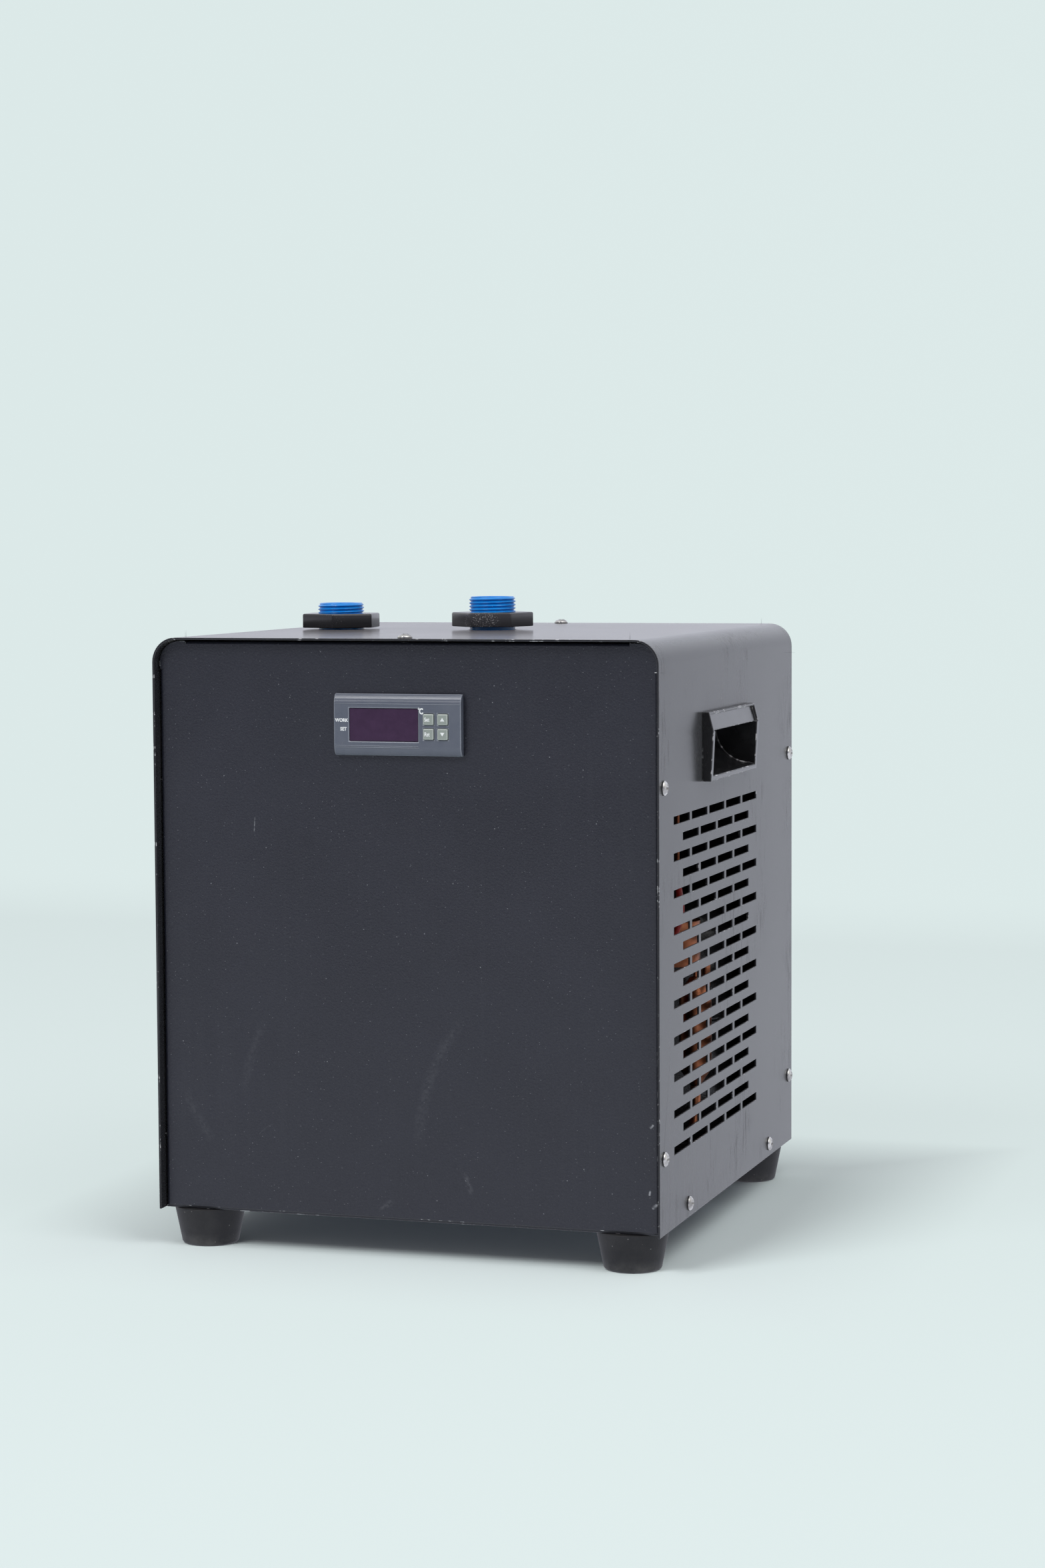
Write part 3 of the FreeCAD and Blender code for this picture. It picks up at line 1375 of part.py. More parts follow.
# The condenser: upright fins in a sheet frame, against the left wall's slots, with return bends. It
# fills the height below the shelf, and its front bends keep clear of the front panel
pass_pitch = f"(({CONDENSER_TOP} - {CONDENSER_BASE}) / Sizes.condenser_passes)"
bend_reach = f"({pass_pitch} / 2 + Sizes.tube_radius + Sizes.bend_clearance)"
CONDENSER_FRONT = f"({bend_reach} - {PANEL_BACK})"
CONDENSER_REAR = f"({CONDENSER_FRONT} + Sizes.condenser_length)"
condenser = new_body("Condenser")
frame_sketch = sketch_on(condenser, "CondenserFrame", "YZ", CONDENSER_LEFT)
outline(
    frame_sketch,
    [
        (CONDENSER_FRONT, TRAY_TOP),
        (f"{CONDENSER_FRONT} + Sizes.sheet", TRAY_TOP),
        (f"{CONDENSER_FRONT} + Sizes.sheet", CONDENSER_BASE),
        (f"{CONDENSER_REAR} - Sizes.sheet", CONDENSER_BASE),
        (f"{CONDENSER_REAR} - Sizes.sheet", TRAY_TOP),
        (CONDENSER_REAR, TRAY_TOP),
        (CONDENSER_REAR, CONDENSER_TOP),
        (CONDENSER_FRONT, CONDENSER_TOP),
    ],
)
rectangle(
    frame_sketch,
    f"{CONDENSER_FRONT} + Sizes.sheet",
    f"{CONDENSER_REAR} - Sizes.sheet",
    f"{CONDENSER_BASE} + Sizes.sheet",
    f"{CONDENSER_TOP} - Sizes.sheet",
)
pad(condenser, frame_sketch, "Sizes.condenser_thickness")
fin_sketch = sketch_on(condenser, "CondenserFin", "YZ", f"{CONDENSER_LEFT} + Sizes.fin_inset")
fin_step = "((Sizes.condenser_length - 2 * Sizes.sheet) / (Sizes.fin_count + 1))"
fin_start = f"({CONDENSER_FRONT} + Sizes.sheet + {fin_step} - Sizes.fin_thickness / 2)"
rectangle(
    fin_sketch,
    fin_start,
    f"{fin_start} + Sizes.fin_thickness",
    f"{CONDENSER_BASE} + Sizes.sheet",
    f"{CONDENSER_TOP} - Sizes.sheet",
)
first_fin = pad(condenser, fin_sketch, "Sizes.condenser_thickness - 2 * Sizes.fin_inset")
fins_length = f"{fin_step} * (Sizes.fin_count - 1)"
repeat(condenser, first_fin, fin_sketch, (fins_length, "Sizes.fin_count"))
part("condenser_core", condenser)

CONDENSER_X = f"({CONDENSER_LEFT} + Sizes.condenser_thickness / 2)"
bends = []
for number in range(int(value("Sizes.condenser_passes")) - 1):
    at_front = number % 2 == 0
    thing = doc.addObject("Part::Torus", f"ReturnBend{number + 1}")
    thing.Angle3 = 180
    face_out = Rotation(Vector(0, 1, 0), 90) * Rotation(Vector(0, 0, 1), 180 if at_front else 0)
    thing.Placement = Placement(Vector(), face_out)
    bind(
        thing,
        {
            "Radius1": f"{pass_pitch} / 2",
            "Radius2": "Sizes.tube_radius",
            "Placement.Base.x": CONDENSER_X,
            "Placement.Base.y": CONDENSER_FRONT if at_front else CONDENSER_REAR,
            "Placement.Base.z": f"{CONDENSER_TOP} - {pass_pitch} * {number + 1}",
        },
    )
    bends.append(thing)
group("condenser_bends", bends)


# The fan: a shroud on the condenser, a five-bladed rotor on the motor's shaft, and the motor's stand
FAN_Y = f"({CONDENSER_FRONT} + Sizes.condenser_length / 2)"
FAN_Z = f"(({CONDENSER_BASE} + {CONDENSER_TOP}) / 2)"
SHROUD_RIGHT = f"({CONDENSER_RIGHT} + Sizes.shroud_depth)"
shroud_solid = block(
    "ShroudSolid",
    (CONDENSER_RIGHT, SHROUD_RIGHT),
    (CONDENSER_FRONT, CONDENSER_REAR),
    (CONDENSER_BASE, CONDENSER_TOP),
)
shroud_hollow = block(
    "ShroudHollow",
    (CONDENSER_RIGHT, f"{SHROUD_RIGHT} - Sizes.sheet"),
    (f"{CONDENSER_FRONT} + Sizes.sheet", f"{CONDENSER_REAR} - Sizes.sheet"),
    (f"{CONDENSER_BASE} + Sizes.sheet", f"{CONDENSER_TOP} - Sizes.sheet"),
)
collar = rod(
    "Collar",
    SHROUD_RIGHT,
    FAN_Y,
    FAN_Z,
    "Sizes.fan_opening + Sizes.sheet",
    "Sizes.collar_length",
    "X",
)
opening = rod(
    "FanOpening",
    f"{SHROUD_RIGHT} - Sizes.sheet",
    FAN_Y,
    FAN_Z,
    "Sizes.fan_opening",
    "Sizes.collar_length + Sizes.sheet",
    "X",
)
part("fan_shroud", cut("Shroud", fuse("ShroudWalls", shroud_solid, collar), shroud_hollow, opening))

FAN_LEFT = f"({SHROUD_RIGHT} + Sizes.collar_length - Sizes.fan_length)"
FAN_RIGHT = f"({FAN_LEFT} + Sizes.fan_length)"
MOTOR_LEFT = f"({FAN_RIGHT} + Sizes.motor_gap)"
MOTOR_RIGHT = f"({MOTOR_LEFT} + Sizes.motor_length)"
rotor = new_body("FanRotor")
hub = sketch_on(rotor, "HubSection", "YZ")
circle(hub, "0", "0", "Sizes.hub_radius")
circle(hub, "0", "0", "Sizes.shaft_radius + Sizes.shaft_gap")
pad(rotor, hub, "Sizes.fan_length", both=True)


def blade_section(name, radius, chord, pitch):
    """A bowed plate across the blade at one radius, turned to its pitch."""
    sketch = sketch_on(rotor, name, "XY", radius)
    lead = f"({chord} / 2)"
    half = "(Sizes.blade_thickness / 2)"

    def place(along, across):
        x = f"({along}) * sin({pitch}) + ({across}) * cos({pitch})"
        y = f"({along}) * cos({pitch}) - ({across}) * sin({pitch})"
        return x, y

    outline(
        sketch,
        [
            (*place(f"-{lead}", f"-{half}"), "(Sizes.blade_bow + Sizes.blade_thickness)", -1),
            place(lead, f"-{half}"),
            (*place(lead, half), "Sizes.blade_bow", 1),
            place(f"-{lead}", half),
        ],
    )
    return sketch


blade_foot = "(Sizes.hub_radius - Sizes.blade_thickness)"
blade_end = "(Sizes.fan_radius + 2 * Sizes.blade_thickness)"
root = blade_section("BladeRoot", blade_foot, "Sizes.root_chord", "Sizes.root_angle")
tip = blade_section("BladeTip", blade_end, "Sizes.tip_chord", "Sizes.tip_angle")
blade = rotor.newObject("PartDesign::AdditiveLoft", "Blade")
blade.Profile = root
blade.Sections = [tip]
doc.recompute()
blades = rotor.newObject("PartDesign::PolarPattern", "Blades")
blades.Originals = [blade]
blades.Axis = (hub, ["N_Axis"])
blades.Angle = 360
bind(blades, {"Occurrences": "Sizes.blade_count"})
rotor.Tip = blades
doc.recompute()
trim = sketch_on(rotor, "BladeTrim", "YZ")
circle(trim, "0", "0", "Sizes.fan_radius")
circle(trim, "0", "0", "Sizes.fan_radius * 2")
pocket(rotor, trim)
bind(
    rotor,
    {
        "Placement.Base.x": f"({FAN_LEFT} + {FAN_RIGHT}) / 2",
        "Placement.Base.y": FAN_Y,
        "Placement.Base.z": FAN_Z,
    },
)
part("fan_rotor", rotor)

shaft_length = "Sizes.fan_length + Sizes.motor_gap + Sizes.shaft_grip"
shaft = rod("MotorShaft", FAN_LEFT, FAN_Y, FAN_Z, "Sizes.shaft_radius", shaft_length, "X")
part("motor_shaft", shaft)

motor = new_body("Motor")
motor_section = sketch_on(motor, "MotorSection", "XZ")
socket = "(Sizes.shaft_radius + Sizes.shaft_gap)"
socket_end = "(Sizes.shaft_grip + Sizes.fit_gap)"
outline(
    motor_section,
    [
        (socket, "0"),
        ("Sizes.motor_radius / 2", "0"),
        ("Sizes.motor_radius", "Sizes.motor_end"),
        ("Sizes.motor_radius", "Sizes.motor_length - Sizes.motor_end"),
        ("Sizes.motor_radius / 2", "Sizes.motor_length"),
        ("0", "Sizes.motor_length"),
        ("0", socket_end),
        (socket, socket_end),
    ],
)
revolve(motor, motor_section)
motor.Placement = Placement(Vector(), Rotation(Vector(0, 1, 0), 90))
bind(
    motor,
    {"Placement.Base.x": MOTOR_LEFT, "Placement.Base.y": FAN_Y, "Placement.Base.z": FAN_Z},
)
part("fan_motor", motor)

bracket_y = centred("(Sizes.bracket_width / 2)", FAN_Y)
bracket_right = f"({MOTOR_RIGHT} + Sizes.bracket_thickness)"
bracket_plate = block(
    "BracketPlate",
    (MOTOR_RIGHT, bracket_right),
    bracket_y,
    (TRAY_TOP, f"{FAN_Z} + Sizes.motor_radius"),
)
bracket_sole = block(
    "BracketSole",
    (f"{MOTOR_RIGHT} - Sizes.bracket_foot", MOTOR_RIGHT),
    bracket_y,
    (TRAY_TOP, f"{TRAY_TOP} + Sizes.bracket_thickness"),
)
part("motor_bracket", fuse("Bracket", bracket_plate, bracket_sole))


# The compressor: a welded steel shell with a seam flange, on a mounting plate and rubber grommets
MOUNT_BASE = f"({TRAY_TOP} + Sizes.grommet_height)"
SHELL_BASE = f"({MOUNT_BASE} + Sizes.mount_thickness)"
TOP_PASS = f"({CONDENSER_TOP} - {pass_pitch} / 2)"
SHELL_TOP = f"({TOP_PASS} - Sizes.discharge_rise)"
shell_height = f"({SHELL_TOP} - {SHELL_BASE})"
shell = new_body("CompressorShell")
shell_section = sketch_on(shell, "ShellSection", "XZ")
seam_base = f"({shell_height} / 2)"
outline(
    shell_section,
    [
        ("0", "0"),
        ("Sizes.compressor_radius - Sizes.shell_crown", "0"),
        ("Sizes.compressor_radius", "Sizes.shell_crown"),
        ("Sizes.compressor_radius", seam_base),
        ("Sizes.compressor_radius + Sizes.shell_seam", seam_base),
        ("Sizes.compressor_radius + Sizes.shell_seam", f"{seam_base} + Sizes.seam_height"),
        ("Sizes.compressor_radius", f"{seam_base} + Sizes.seam_height"),
        ("Sizes.compressor_radius", f"{shell_height} - Sizes.shell_shoulder"),
        (
            "Sizes.compressor_radius - Sizes.shell_crown",
            f"{shell_height} - Sizes.shell_crown",
        ),
        (
            "Sizes.compressor_radius - Sizes.shell_shoulder - Sizes.shell_crown",
            shell_height,
        ),
        ("0", shell_height),
    ],
)
revolve(shell, shell_section)
bind(
    shell,
    {
        "Placement.Base.x": COMPRESSOR_X,
        "Placement.Base.y": COMPRESSOR_Y,
        "Placement.Base.z": SHELL_BASE,
    },
)
mount_plate = block(
    "MountPlate",
    centred("(Sizes.mount_width / 2)", COMPRESSOR_X),
    centred("(Sizes.mount_depth / 2)", COMPRESSOR_Y),
    (MOUNT_BASE, SHELL_BASE),
)
GROMMETS = [
    (f"{COMPRESSOR_X} {east} Sizes.grommet_x", f"{COMPRESSOR_Y} {north} Sizes.grommet_y")
    for east, north in CORNERS
]
mount_holes = [
    rod(
        f"MountHole{number}",
        x,
        y,
        MOUNT_BASE,
        "Sizes.grommet_neck + Sizes.pilot_gap",
        "Sizes.mount_thickness",
    )
    for number, (x, y) in enumerate(GROMMETS, 1)
]
mount = cut("Mount", mount_plate, *mount_holes)
part("compressor_shell", fuse("Compressor", shell, mount))

grommet = new_body("Grommet")
grommet_section = sketch_on(grommet, "GrommetSection", "XZ")
bolt_hole = "(Sizes.bolt_radius + Sizes.pilot_gap)"
neck_top = "(Sizes.grommet_height + Sizes.mount_thickness)"
outline(
    grommet_section,
    [
        (bolt_hole, "0"),
        ("Sizes.grommet_radius", "0"),
        ("Sizes.grommet_radius", "Sizes.grommet_height"),
        ("Sizes.grommet_neck", "Sizes.grommet_height"),
        ("Sizes.grommet_neck", neck_top),
        ("Sizes.grommet_cap", neck_top),
        ("Sizes.grommet_cap", f"{neck_top} + Sizes.grommet_cap_height"),
        (bolt_hole, f"{neck_top} + Sizes.grommet_cap_height"),
    ],
)
revolve(grommet, grommet_section)
GROMMET_TOP = f"({SHELL_BASE} + Sizes.grommet_cap_height)"
bolt = screw(
    "Bolt",
    "Sizes.bolt_radius * 2",
    "Sizes.bolt_head_height",
    "Sizes.bolt_radius",
    f"{GROMMET_TOP} - {COVER_BOTTOM} + Sizes.nut_height",
)
bolt_nut_blank = doc.addObject("Part::Prism", "BoltNutBlank")
bolt_nut_blank.Polygon = 6
bind(bolt_nut_blank, {"Circumradius": "Sizes.bolt_radius * 2", "Height": "Sizes.nut_height"})
bolt_nut = cut(
    "BoltNut", bolt_nut_blank, rod("BoltNutHole", "0", "0", "0", bolt_hole, "Sizes.nut_height")
)
grommets = []
bolts = []
bolt_nuts = []
for number, (x, y) in enumerate(GROMMETS, 1):
    grommets.append(copy_of(grommet, f"Grommet{number}", x, y, TRAY_TOP))
    bolts.append(copy_of(bolt, f"Bolt{number}", x, y, COVER_BOTTOM, HEAD_DOWN))
    bolt_nuts.append(copy_of(bolt_nut, f"BoltNut{number}", x, y, GROMMET_TOP))
group("compressor_grommets", grommets)
group("compressor_bolts", bolts)
group("compressor_nuts", bolt_nuts)

SHELL_FRONT = f"({COMPRESSOR_Y} - Sizes.compressor_radius)"
box_base = f"({SHELL_BASE} + {seam_base} - Sizes.cover_box_rise)"
BOX_TOP = f"({box_base} + Sizes.cover_box_height)"
BOX_FRONT = f"({SHELL_FRONT} - Sizes.cover_box_depth)"
cover_box = block(
    "CoverBox",
    centred("(Sizes.cover_box_width / 2)", COMPRESSOR_X),
    (BOX_FRONT, f"{SHELL_FRONT} + Sizes.cover_box_depth"),
    (box_base, BOX_TOP),
)
shell_space = rod(
    "ShellSpace",
    COMPRESSOR_X,
    COMPRESSOR_Y,
    box_base,
    "Sizes.compressor_radius + Sizes.insulation_gap",
    "Sizes.cover_box_height",
)
part("terminal_cover", cut("TerminalCover", cover_box, shell_space))


# The refrigerant circuit: compressor, condenser, drier, capillary, titanium coil and back
tube_bend = "Sizes.pipe_bend"
LOW_PASS = f"({CONDENSER_BASE} + {pass_pitch} / 2)"
discharge_y = f"({CONDENSER_REAR} + Sizes.pipe_front)"
discharge = bent_tube(
    "DischargePipe",
    "Sizes.tube_radius",
    tube_bend,
    [
        (COMPRESSOR_X, COMPRESSOR_Y, SHELL_TOP),
        (COMPRESSOR_X, COMPRESSOR_Y, TOP_PASS),
        (CONDENSER_X, discharge_y, TOP_PASS),
        (CONDENSER_X, CONDENSER_REAR, TOP_PASS),
    ],
)
part("discharge_pipe", discharge)

DRIER_X = f"({HALF_WIDTH} - Sizes.drier_side)"
COIL_X = f"({DRIER_X} - Sizes.capillary_coil_radius)"
DRIER_Y = f"({TAIL_Y} - Sizes.capillary_coil_radius)"
DRIER_BASE = f"({TRAY_TOP} + Sizes.drier_base)"
DRIER_TOP = f"({DRIER_BASE} + Sizes.drier_height)"
pipe_y = f"({CONDENSER_FRONT} - Sizes.pipe_front)"
liquid = bent_tube(
    "LiquidPipe",
    "Sizes.liquid_radius",
    tube_bend,
    [
        (CONDENSER_X, CONDENSER_FRONT, LOW_PASS),
        (CONDENSER_X, pipe_y, LOW_PASS),
        (DRIER_X, pipe_y, LOW_PASS),
        (DRIER_X, DRIER_Y, LOW_PASS),
        (DRIER_X, DRIER_Y, DRIER_BASE),
    ],
)
part("liquid_pipe", liquid)

drier = new_body("Drier")
drier_section = sketch_on(drier, "DrierSection", "XZ")
outline(
    drier_section,
    [
        ("0", "0"),
        ("Sizes.liquid_radius", "0"),
        ("Sizes.drier_radius", "Sizes.drier_taper"),
        ("Sizes.drier_radius", "Sizes.drier_height - Sizes.drier_taper"),
        ("Sizes.liquid_radius", "Sizes.drier_height"),
        ("0", "Sizes.drier_height"),
    ],
)
revolve(drier, drier_section)
bind(
    drier,
    {"Placement.Base.x": DRIER_X, "Placement.Base.y": DRIER_Y, "Placement.Base.z": DRIER_BASE},
)
part("filter_drier", drier)

# The capillary's turns are one ring of their outer shape, between its two straight ends
COIL_BASE = f"({DRIER_TOP} + Sizes.capillary_rise)"
COIL_TOP = f"({COIL_BASE} + Sizes.capillary_coil_height)"
ring_outer = "(Sizes.capillary_coil_radius + Sizes.capillary_coil_wall / 2)"
ring_inner = "(Sizes.capillary_coil_radius - Sizes.capillary_coil_wall / 2)"
ring = cut(
    "CapillaryRing",
    rod("RingOuter", COIL_X, DRIER_Y, COIL_BASE, ring_outer, "Sizes.capillary_coil_height"),
    rod("RingInner", COIL_X, DRIER_Y, COIL_BASE, ring_inner, "Sizes.capillary_coil_height"),
)
lower_end = rod(
    "CapillaryStart", DRIER_X, DRIER_Y, DRIER_TOP, "Sizes.capillary_radius", "Sizes.capillary_rise"
)
upper_end = bent_tube(
    "CapillaryEnd",
    "Sizes.capillary_radius",
    tube_bend,
    [(COIL_X, TAIL_Y, COIL_TOP), (COIL_X, TAIL_Y, BARREL_Z), (CAP_FACE, TAIL_Y, BARREL_Z)],
)
part("capillary_coil", fuse("Capillary", ring, lower_end, upper_end))

suction_level = f"({SHELL_TOP} - Sizes.suction_drop)"
suction_y = f"({SHELL_FRONT} - Sizes.suction_clearance)"
suction = bent_tube(
    "SuctionPipe",
    "Sizes.suction_radius",
    tube_bend,
    [
        (CAP_FACE, PORT_Y, TAIL_LOW),
        (f"{CAP_FACE} + Sizes.pipe_bend", PORT_Y, TAIL_LOW),
        (COMPRESSOR_X, suction_y, TAIL_LOW),
        (COMPRESSOR_X, suction_y, suction_level),
        (COMPRESSOR_X, SHELL_FRONT, suction_level),
    ],
)
part("suction_pipe", suction)

process_x = f"({COMPRESSOR_X} + Sizes.compressor_radius * cos(45))"
process_y = f"({COMPRESSOR_Y} - Sizes.compressor_radius * sin(45))"
process_level = f"({SHELL_BASE} + {seam_base} + Sizes.process_lift)"
process_out = f"({process_x} + Sizes.pipe_bend)"
process = bent_tube(
    "ProcessTube",
    "Sizes.process_radius",
    tube_bend,
    [
        (process_x, process_y, process_level),
        (process_out, f"{process_y} - Sizes.pipe_bend", process_level),
        (process_out, f"{process_y} - Sizes.pipe_bend", f"{process_level} + Sizes.process_rise"),
    ],
)
part("process_tube", process)


# The wires: from the controller's terminals to the compressor, the fan and the barrel's probe, and
# from the power inlet to the terminals
lead_bend = "Sizes.pipe_bend * 2"
lead_z = CONTROLLER_Z
motor_lead_x = f"({MOTOR_LEFT} + Sizes.motor_lead_inset)"
motor_lead_y = f"({PORT_Y} - Sizes.shelf_depth / 2 - Sizes.shelf_lead_gap)"
motor_top = f"({FAN_Z} + Sizes.motor_radius + Sizes.fit_gap)"
wall_x = f"({HALF_WIDTH} - 10)"
part(
    "compressor_lead",
    bent_tube(
        "CompressorLead",
        "Sizes.lead_radius",
        lead_bend,
        [
            (f"{CONTROLLER_X} + 20", TERMINAL_REAR, lead_z),
            (f"{CONTROLLER_X} + 20", f"{TERMINAL_REAR} + 16", lead_z),
            (wall_x, f"{TERMINAL_REAR} - 6", f"{lead_z} - 84"),
            (f"{wall_x} - 4", f"{TERMINAL_REAR} + 22", f"{lead_z} - 112"),
            (f"{COMPRESSOR_X} + 14", f"{BOX_FRONT} - Sizes.box_lead_run", f"{BOX_TOP} - 12"),
            (f"{COMPRESSOR_X} + 14", BOX_FRONT, f"{BOX_TOP} - 12"),
        ],
    ),
)
part(
    "fan_lead",
    bent_tube(
        "FanLead",
        "Sizes.lead_radius",
        lead_bend,
        [
            (f"{CONTROLLER_X} - Sizes.motor_lead_inset", TERMINAL_REAR, lead_z),
            (f"{CONTROLLER_X} - Sizes.motor_lead_inset", f"{TERMINAL_REAR} + Sizes.lead_run", lead_z),
            (motor_lead_x, motor_lead_y, f"{motor_top} + Sizes.motor_lead_rise"),
            (motor_lead_x, FAN_Y, motor_top),
        ],
    ),
)
part(
    "mains_lead",
    bent_tube(
        "MainsLead",
        "Sizes.lead_radius",
        lead_bend,
        [
            (INLET_X, INLET_BACK, INLET_Z),
            (INLET_X, f"{INLET_BACK} - 22", INLET_Z),
            (f"{INLET_X} + 16", f"{discharge_y} + 20", f"{TOP_PASS} - 28"),
            (f"{CAP_FACE} + 18", f"{PORT_Y} + 52", f"{BARREL_Z} - 7"),
            (f"{CAP_FACE} + 18", f"{TERMINAL_REAR} + 30", f"{BARREL_Z} - 7"),
            (f"{CONTROLLER_X} + 10", f"{TERMINAL_REAR} + 18", f"{lead_z} - 3"),
            (f"{CONTROLLER_X} + 10", TERMINAL_REAR, f"{lead_z} - 3"),
        ],
    ),
)
probe_start = f"({BARREL_RIGHT} - Sizes.probe_reach)"
probe_length = f"{CAP_FACE} + 4 - {probe_start}"
probe_rod = rod(
    "ProbeRod", probe_start, PORT_Y, PROBE_Z, "Sizes.probe_radius", probe_length, "X"
)
probe_lead = bent_tube(
    "ProbeLead",
    "Sizes.lead_radius / 2",
    lead_bend,
    [
        (f"{CAP_FACE} + 4", PORT_Y, PROBE_Z),
        (f"{CAP_FACE} + 16", PORT_Y, PROBE_Z),
        (f"{CAP_FACE} + 16", f"{TERMINAL_REAR} + 23", PROBE_Z),
        (CONTROLLER_X, f"{TERMINAL_REAR} + 19", f"{lead_z} + 3"),
        (CONTROLLER_X, TERMINAL_REAR, f"{lead_z} + 3"),
    ],
)
part("temperature_probe", fuse("TemperatureProbe", probe_rod, probe_lead))


# Every object has to be sound before anything is written
doc.recompute()
failed = [o.Name for o in doc.Objects if {"Invalid", "Error"} & set(o.State)]
if failed:
    raise RuntimeError(f"objects that failed: {failed}")
for node, thing in PARTS.items():
    shape = Part.getShape(thing)
    if shape.isNull() or not shape.isValid() or not shape.Solids:
        raise RuntimeError(f"{node} is not a sound solid")

os.makedirs("parts", exist_ok=True)
for node, thing in PARTS.items():
    Part.getShape(thing).exportStep(os.path.join("parts", node + ".step"))
print(len(PARTS), "parts")
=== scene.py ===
"""The looks of an aquarium chiller, piece by piece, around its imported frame.

Metres, +Z up, front at -Y.
"""

import json
import math

import bmesh
import bpy
import numpy as np
from mathutils import Matrix, Vector


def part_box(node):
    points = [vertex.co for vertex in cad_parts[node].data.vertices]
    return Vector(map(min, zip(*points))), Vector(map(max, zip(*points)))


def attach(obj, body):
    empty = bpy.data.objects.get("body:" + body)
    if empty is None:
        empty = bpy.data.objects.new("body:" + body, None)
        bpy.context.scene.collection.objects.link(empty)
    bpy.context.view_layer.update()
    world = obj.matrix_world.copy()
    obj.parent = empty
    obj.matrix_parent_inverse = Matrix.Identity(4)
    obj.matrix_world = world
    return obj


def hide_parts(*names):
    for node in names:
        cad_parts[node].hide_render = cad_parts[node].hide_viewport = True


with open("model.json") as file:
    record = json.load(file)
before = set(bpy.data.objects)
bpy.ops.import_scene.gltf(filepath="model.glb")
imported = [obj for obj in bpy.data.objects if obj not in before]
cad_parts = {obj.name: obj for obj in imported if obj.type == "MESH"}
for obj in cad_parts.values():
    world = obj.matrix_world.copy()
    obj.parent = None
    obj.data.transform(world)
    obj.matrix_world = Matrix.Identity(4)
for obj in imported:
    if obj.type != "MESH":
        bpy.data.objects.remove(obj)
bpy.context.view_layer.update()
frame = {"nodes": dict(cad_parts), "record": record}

# The camera stands where the photograph was taken from: a little above the cover, to the right of
# the front. It was worked out from the case's corners, so there is no shift and hardly any roll.
eye = Vector((0.630179, -1.908012, 0.409960))
yaw, pitch, roll = 0.3091, 0.0757, -0.0054
ahead = Vector(
    (-math.sin(yaw) * math.cos(pitch), math.cos(yaw) * math.cos(pitch), -math.sin(pitch))
)
level = Vector((math.cos(yaw), math.sin(yaw), 0))
upward = level.cross(ahead)
right = level * math.cos(roll) + upward * math.sin(roll)
up = upward * math.cos(roll) - level * math.sin(roll)
lens = bpy.data.cameras.new("camera")
lens.lens = 77.06
lens.sensor_width = 36
lens.clip_end = 60
camera = bpy.data.objects.new("camera", lens)
camera.matrix_world = Matrix.Translation(eye) @ Matrix((right, up, -ahead)).transposed().to_4x4()
bpy.context.collection.objects.link(camera)
bpy.context.scene.camera = camera
bpy.context.scene.view_settings.view_transform = "Standard"


# The studio is one pale paper sheet that runs under the chiller and curves up behind it. A wide
# soft lamp hangs in front on the left, a weaker one on the right, and a pale room does the rest.
def add_node(tree, kind, feeds=None, **settings):
    """A shader node with its settings. A feed that is a socket is linked, any other is a value."""
    made = tree.nodes.new("ShaderNode" + kind)
    for name, setting in settings.items():
        setattr(made, name, setting)
    for name, feed in (feeds or {}).items():
        if isinstance(feed, bpy.types.NodeSocket):
            tree.links.new(feed, made.inputs[name])
        else:
            made.inputs[name].default_value = feed
    return made


def maths(tree, operation, first, second=0.0, third=0.5, clamp=False):
    """The output of a Math node."""
    feeds = {0: first, 1: second, 2: third}
    return add_node(tree, "Math", feeds, operation=operation, use_clamp=clamp).outputs[0]


def object_axis(tree, axis):
    """The X, Y or Z of the object's own coordinates."""
    place = add_node(tree, "TexCoord").outputs["Object"]
    return add_node(tree, "SeparateXYZ", {0: place}).outputs[axis]


def mix_colour(tree, share, first, second, **settings):
    """A colour between two, by a share from 0 to 1."""
    feeds = {0: share, 6: first, 7: second}
    return add_node(tree, "Mix", feeds, data_type="RGBA", **settings).outputs[2]


def blank_material(name):
    """A material's empty node tree and its output."""
    material = bpy.data.materials.new(name)
    material.use_nodes = True
    material.node_tree.nodes.clear()
    return material, material.node_tree, add_node(material.node_tree, "OutputMaterial")


def make_mesh(name, grids, material, merge=True):
    """A mesh from grids of points. A grid is (points, loop_rows, loop_columns): points[i, j] is a
    function of two parameters, neighbours make a quad, and a looped way joins last to first."""
    corners, quads, count = [], [], 0
    for points, loop_rows, loop_columns in grids:
        rows, columns = points.shape[:2]
        i = np.arange(rows if loop_rows else rows - 1)[:, None]
        j = np.arange(columns if loop_columns else columns - 1)[None, :]
        low, high = i * columns, (i + 1) % rows * columns
        after = (j + 1) % columns
        square = np.stack([low + j, low + after, high + after, high + j], axis=-1)
        quads.append(square.reshape(-1, 4) + count)
        corners.append(points.reshape(-1, 3))
        count += rows * columns
    mesh = bpy.data.meshes.new(name)
    mesh.from_pydata(np.concatenate(corners).tolist(), [], np.concatenate(quads).tolist())
    work = bmesh.new()
    work.from_mesh(mesh)
    if merge:
        bmesh.ops.remove_doubles(work, verts=work.verts, dist=2e-6)
        bmesh.ops.recalc_face_normals(work, faces=work.faces)
    work.to_mesh(mesh)
    work.free()
    mesh.polygons.foreach_set("use_smooth", np.ones(len(mesh.polygons), dtype=bool))
    made = bpy.data.objects.new(name, mesh)
    made.data.materials.append(material)
    bpy.context.collection.objects.link(made)
    return made


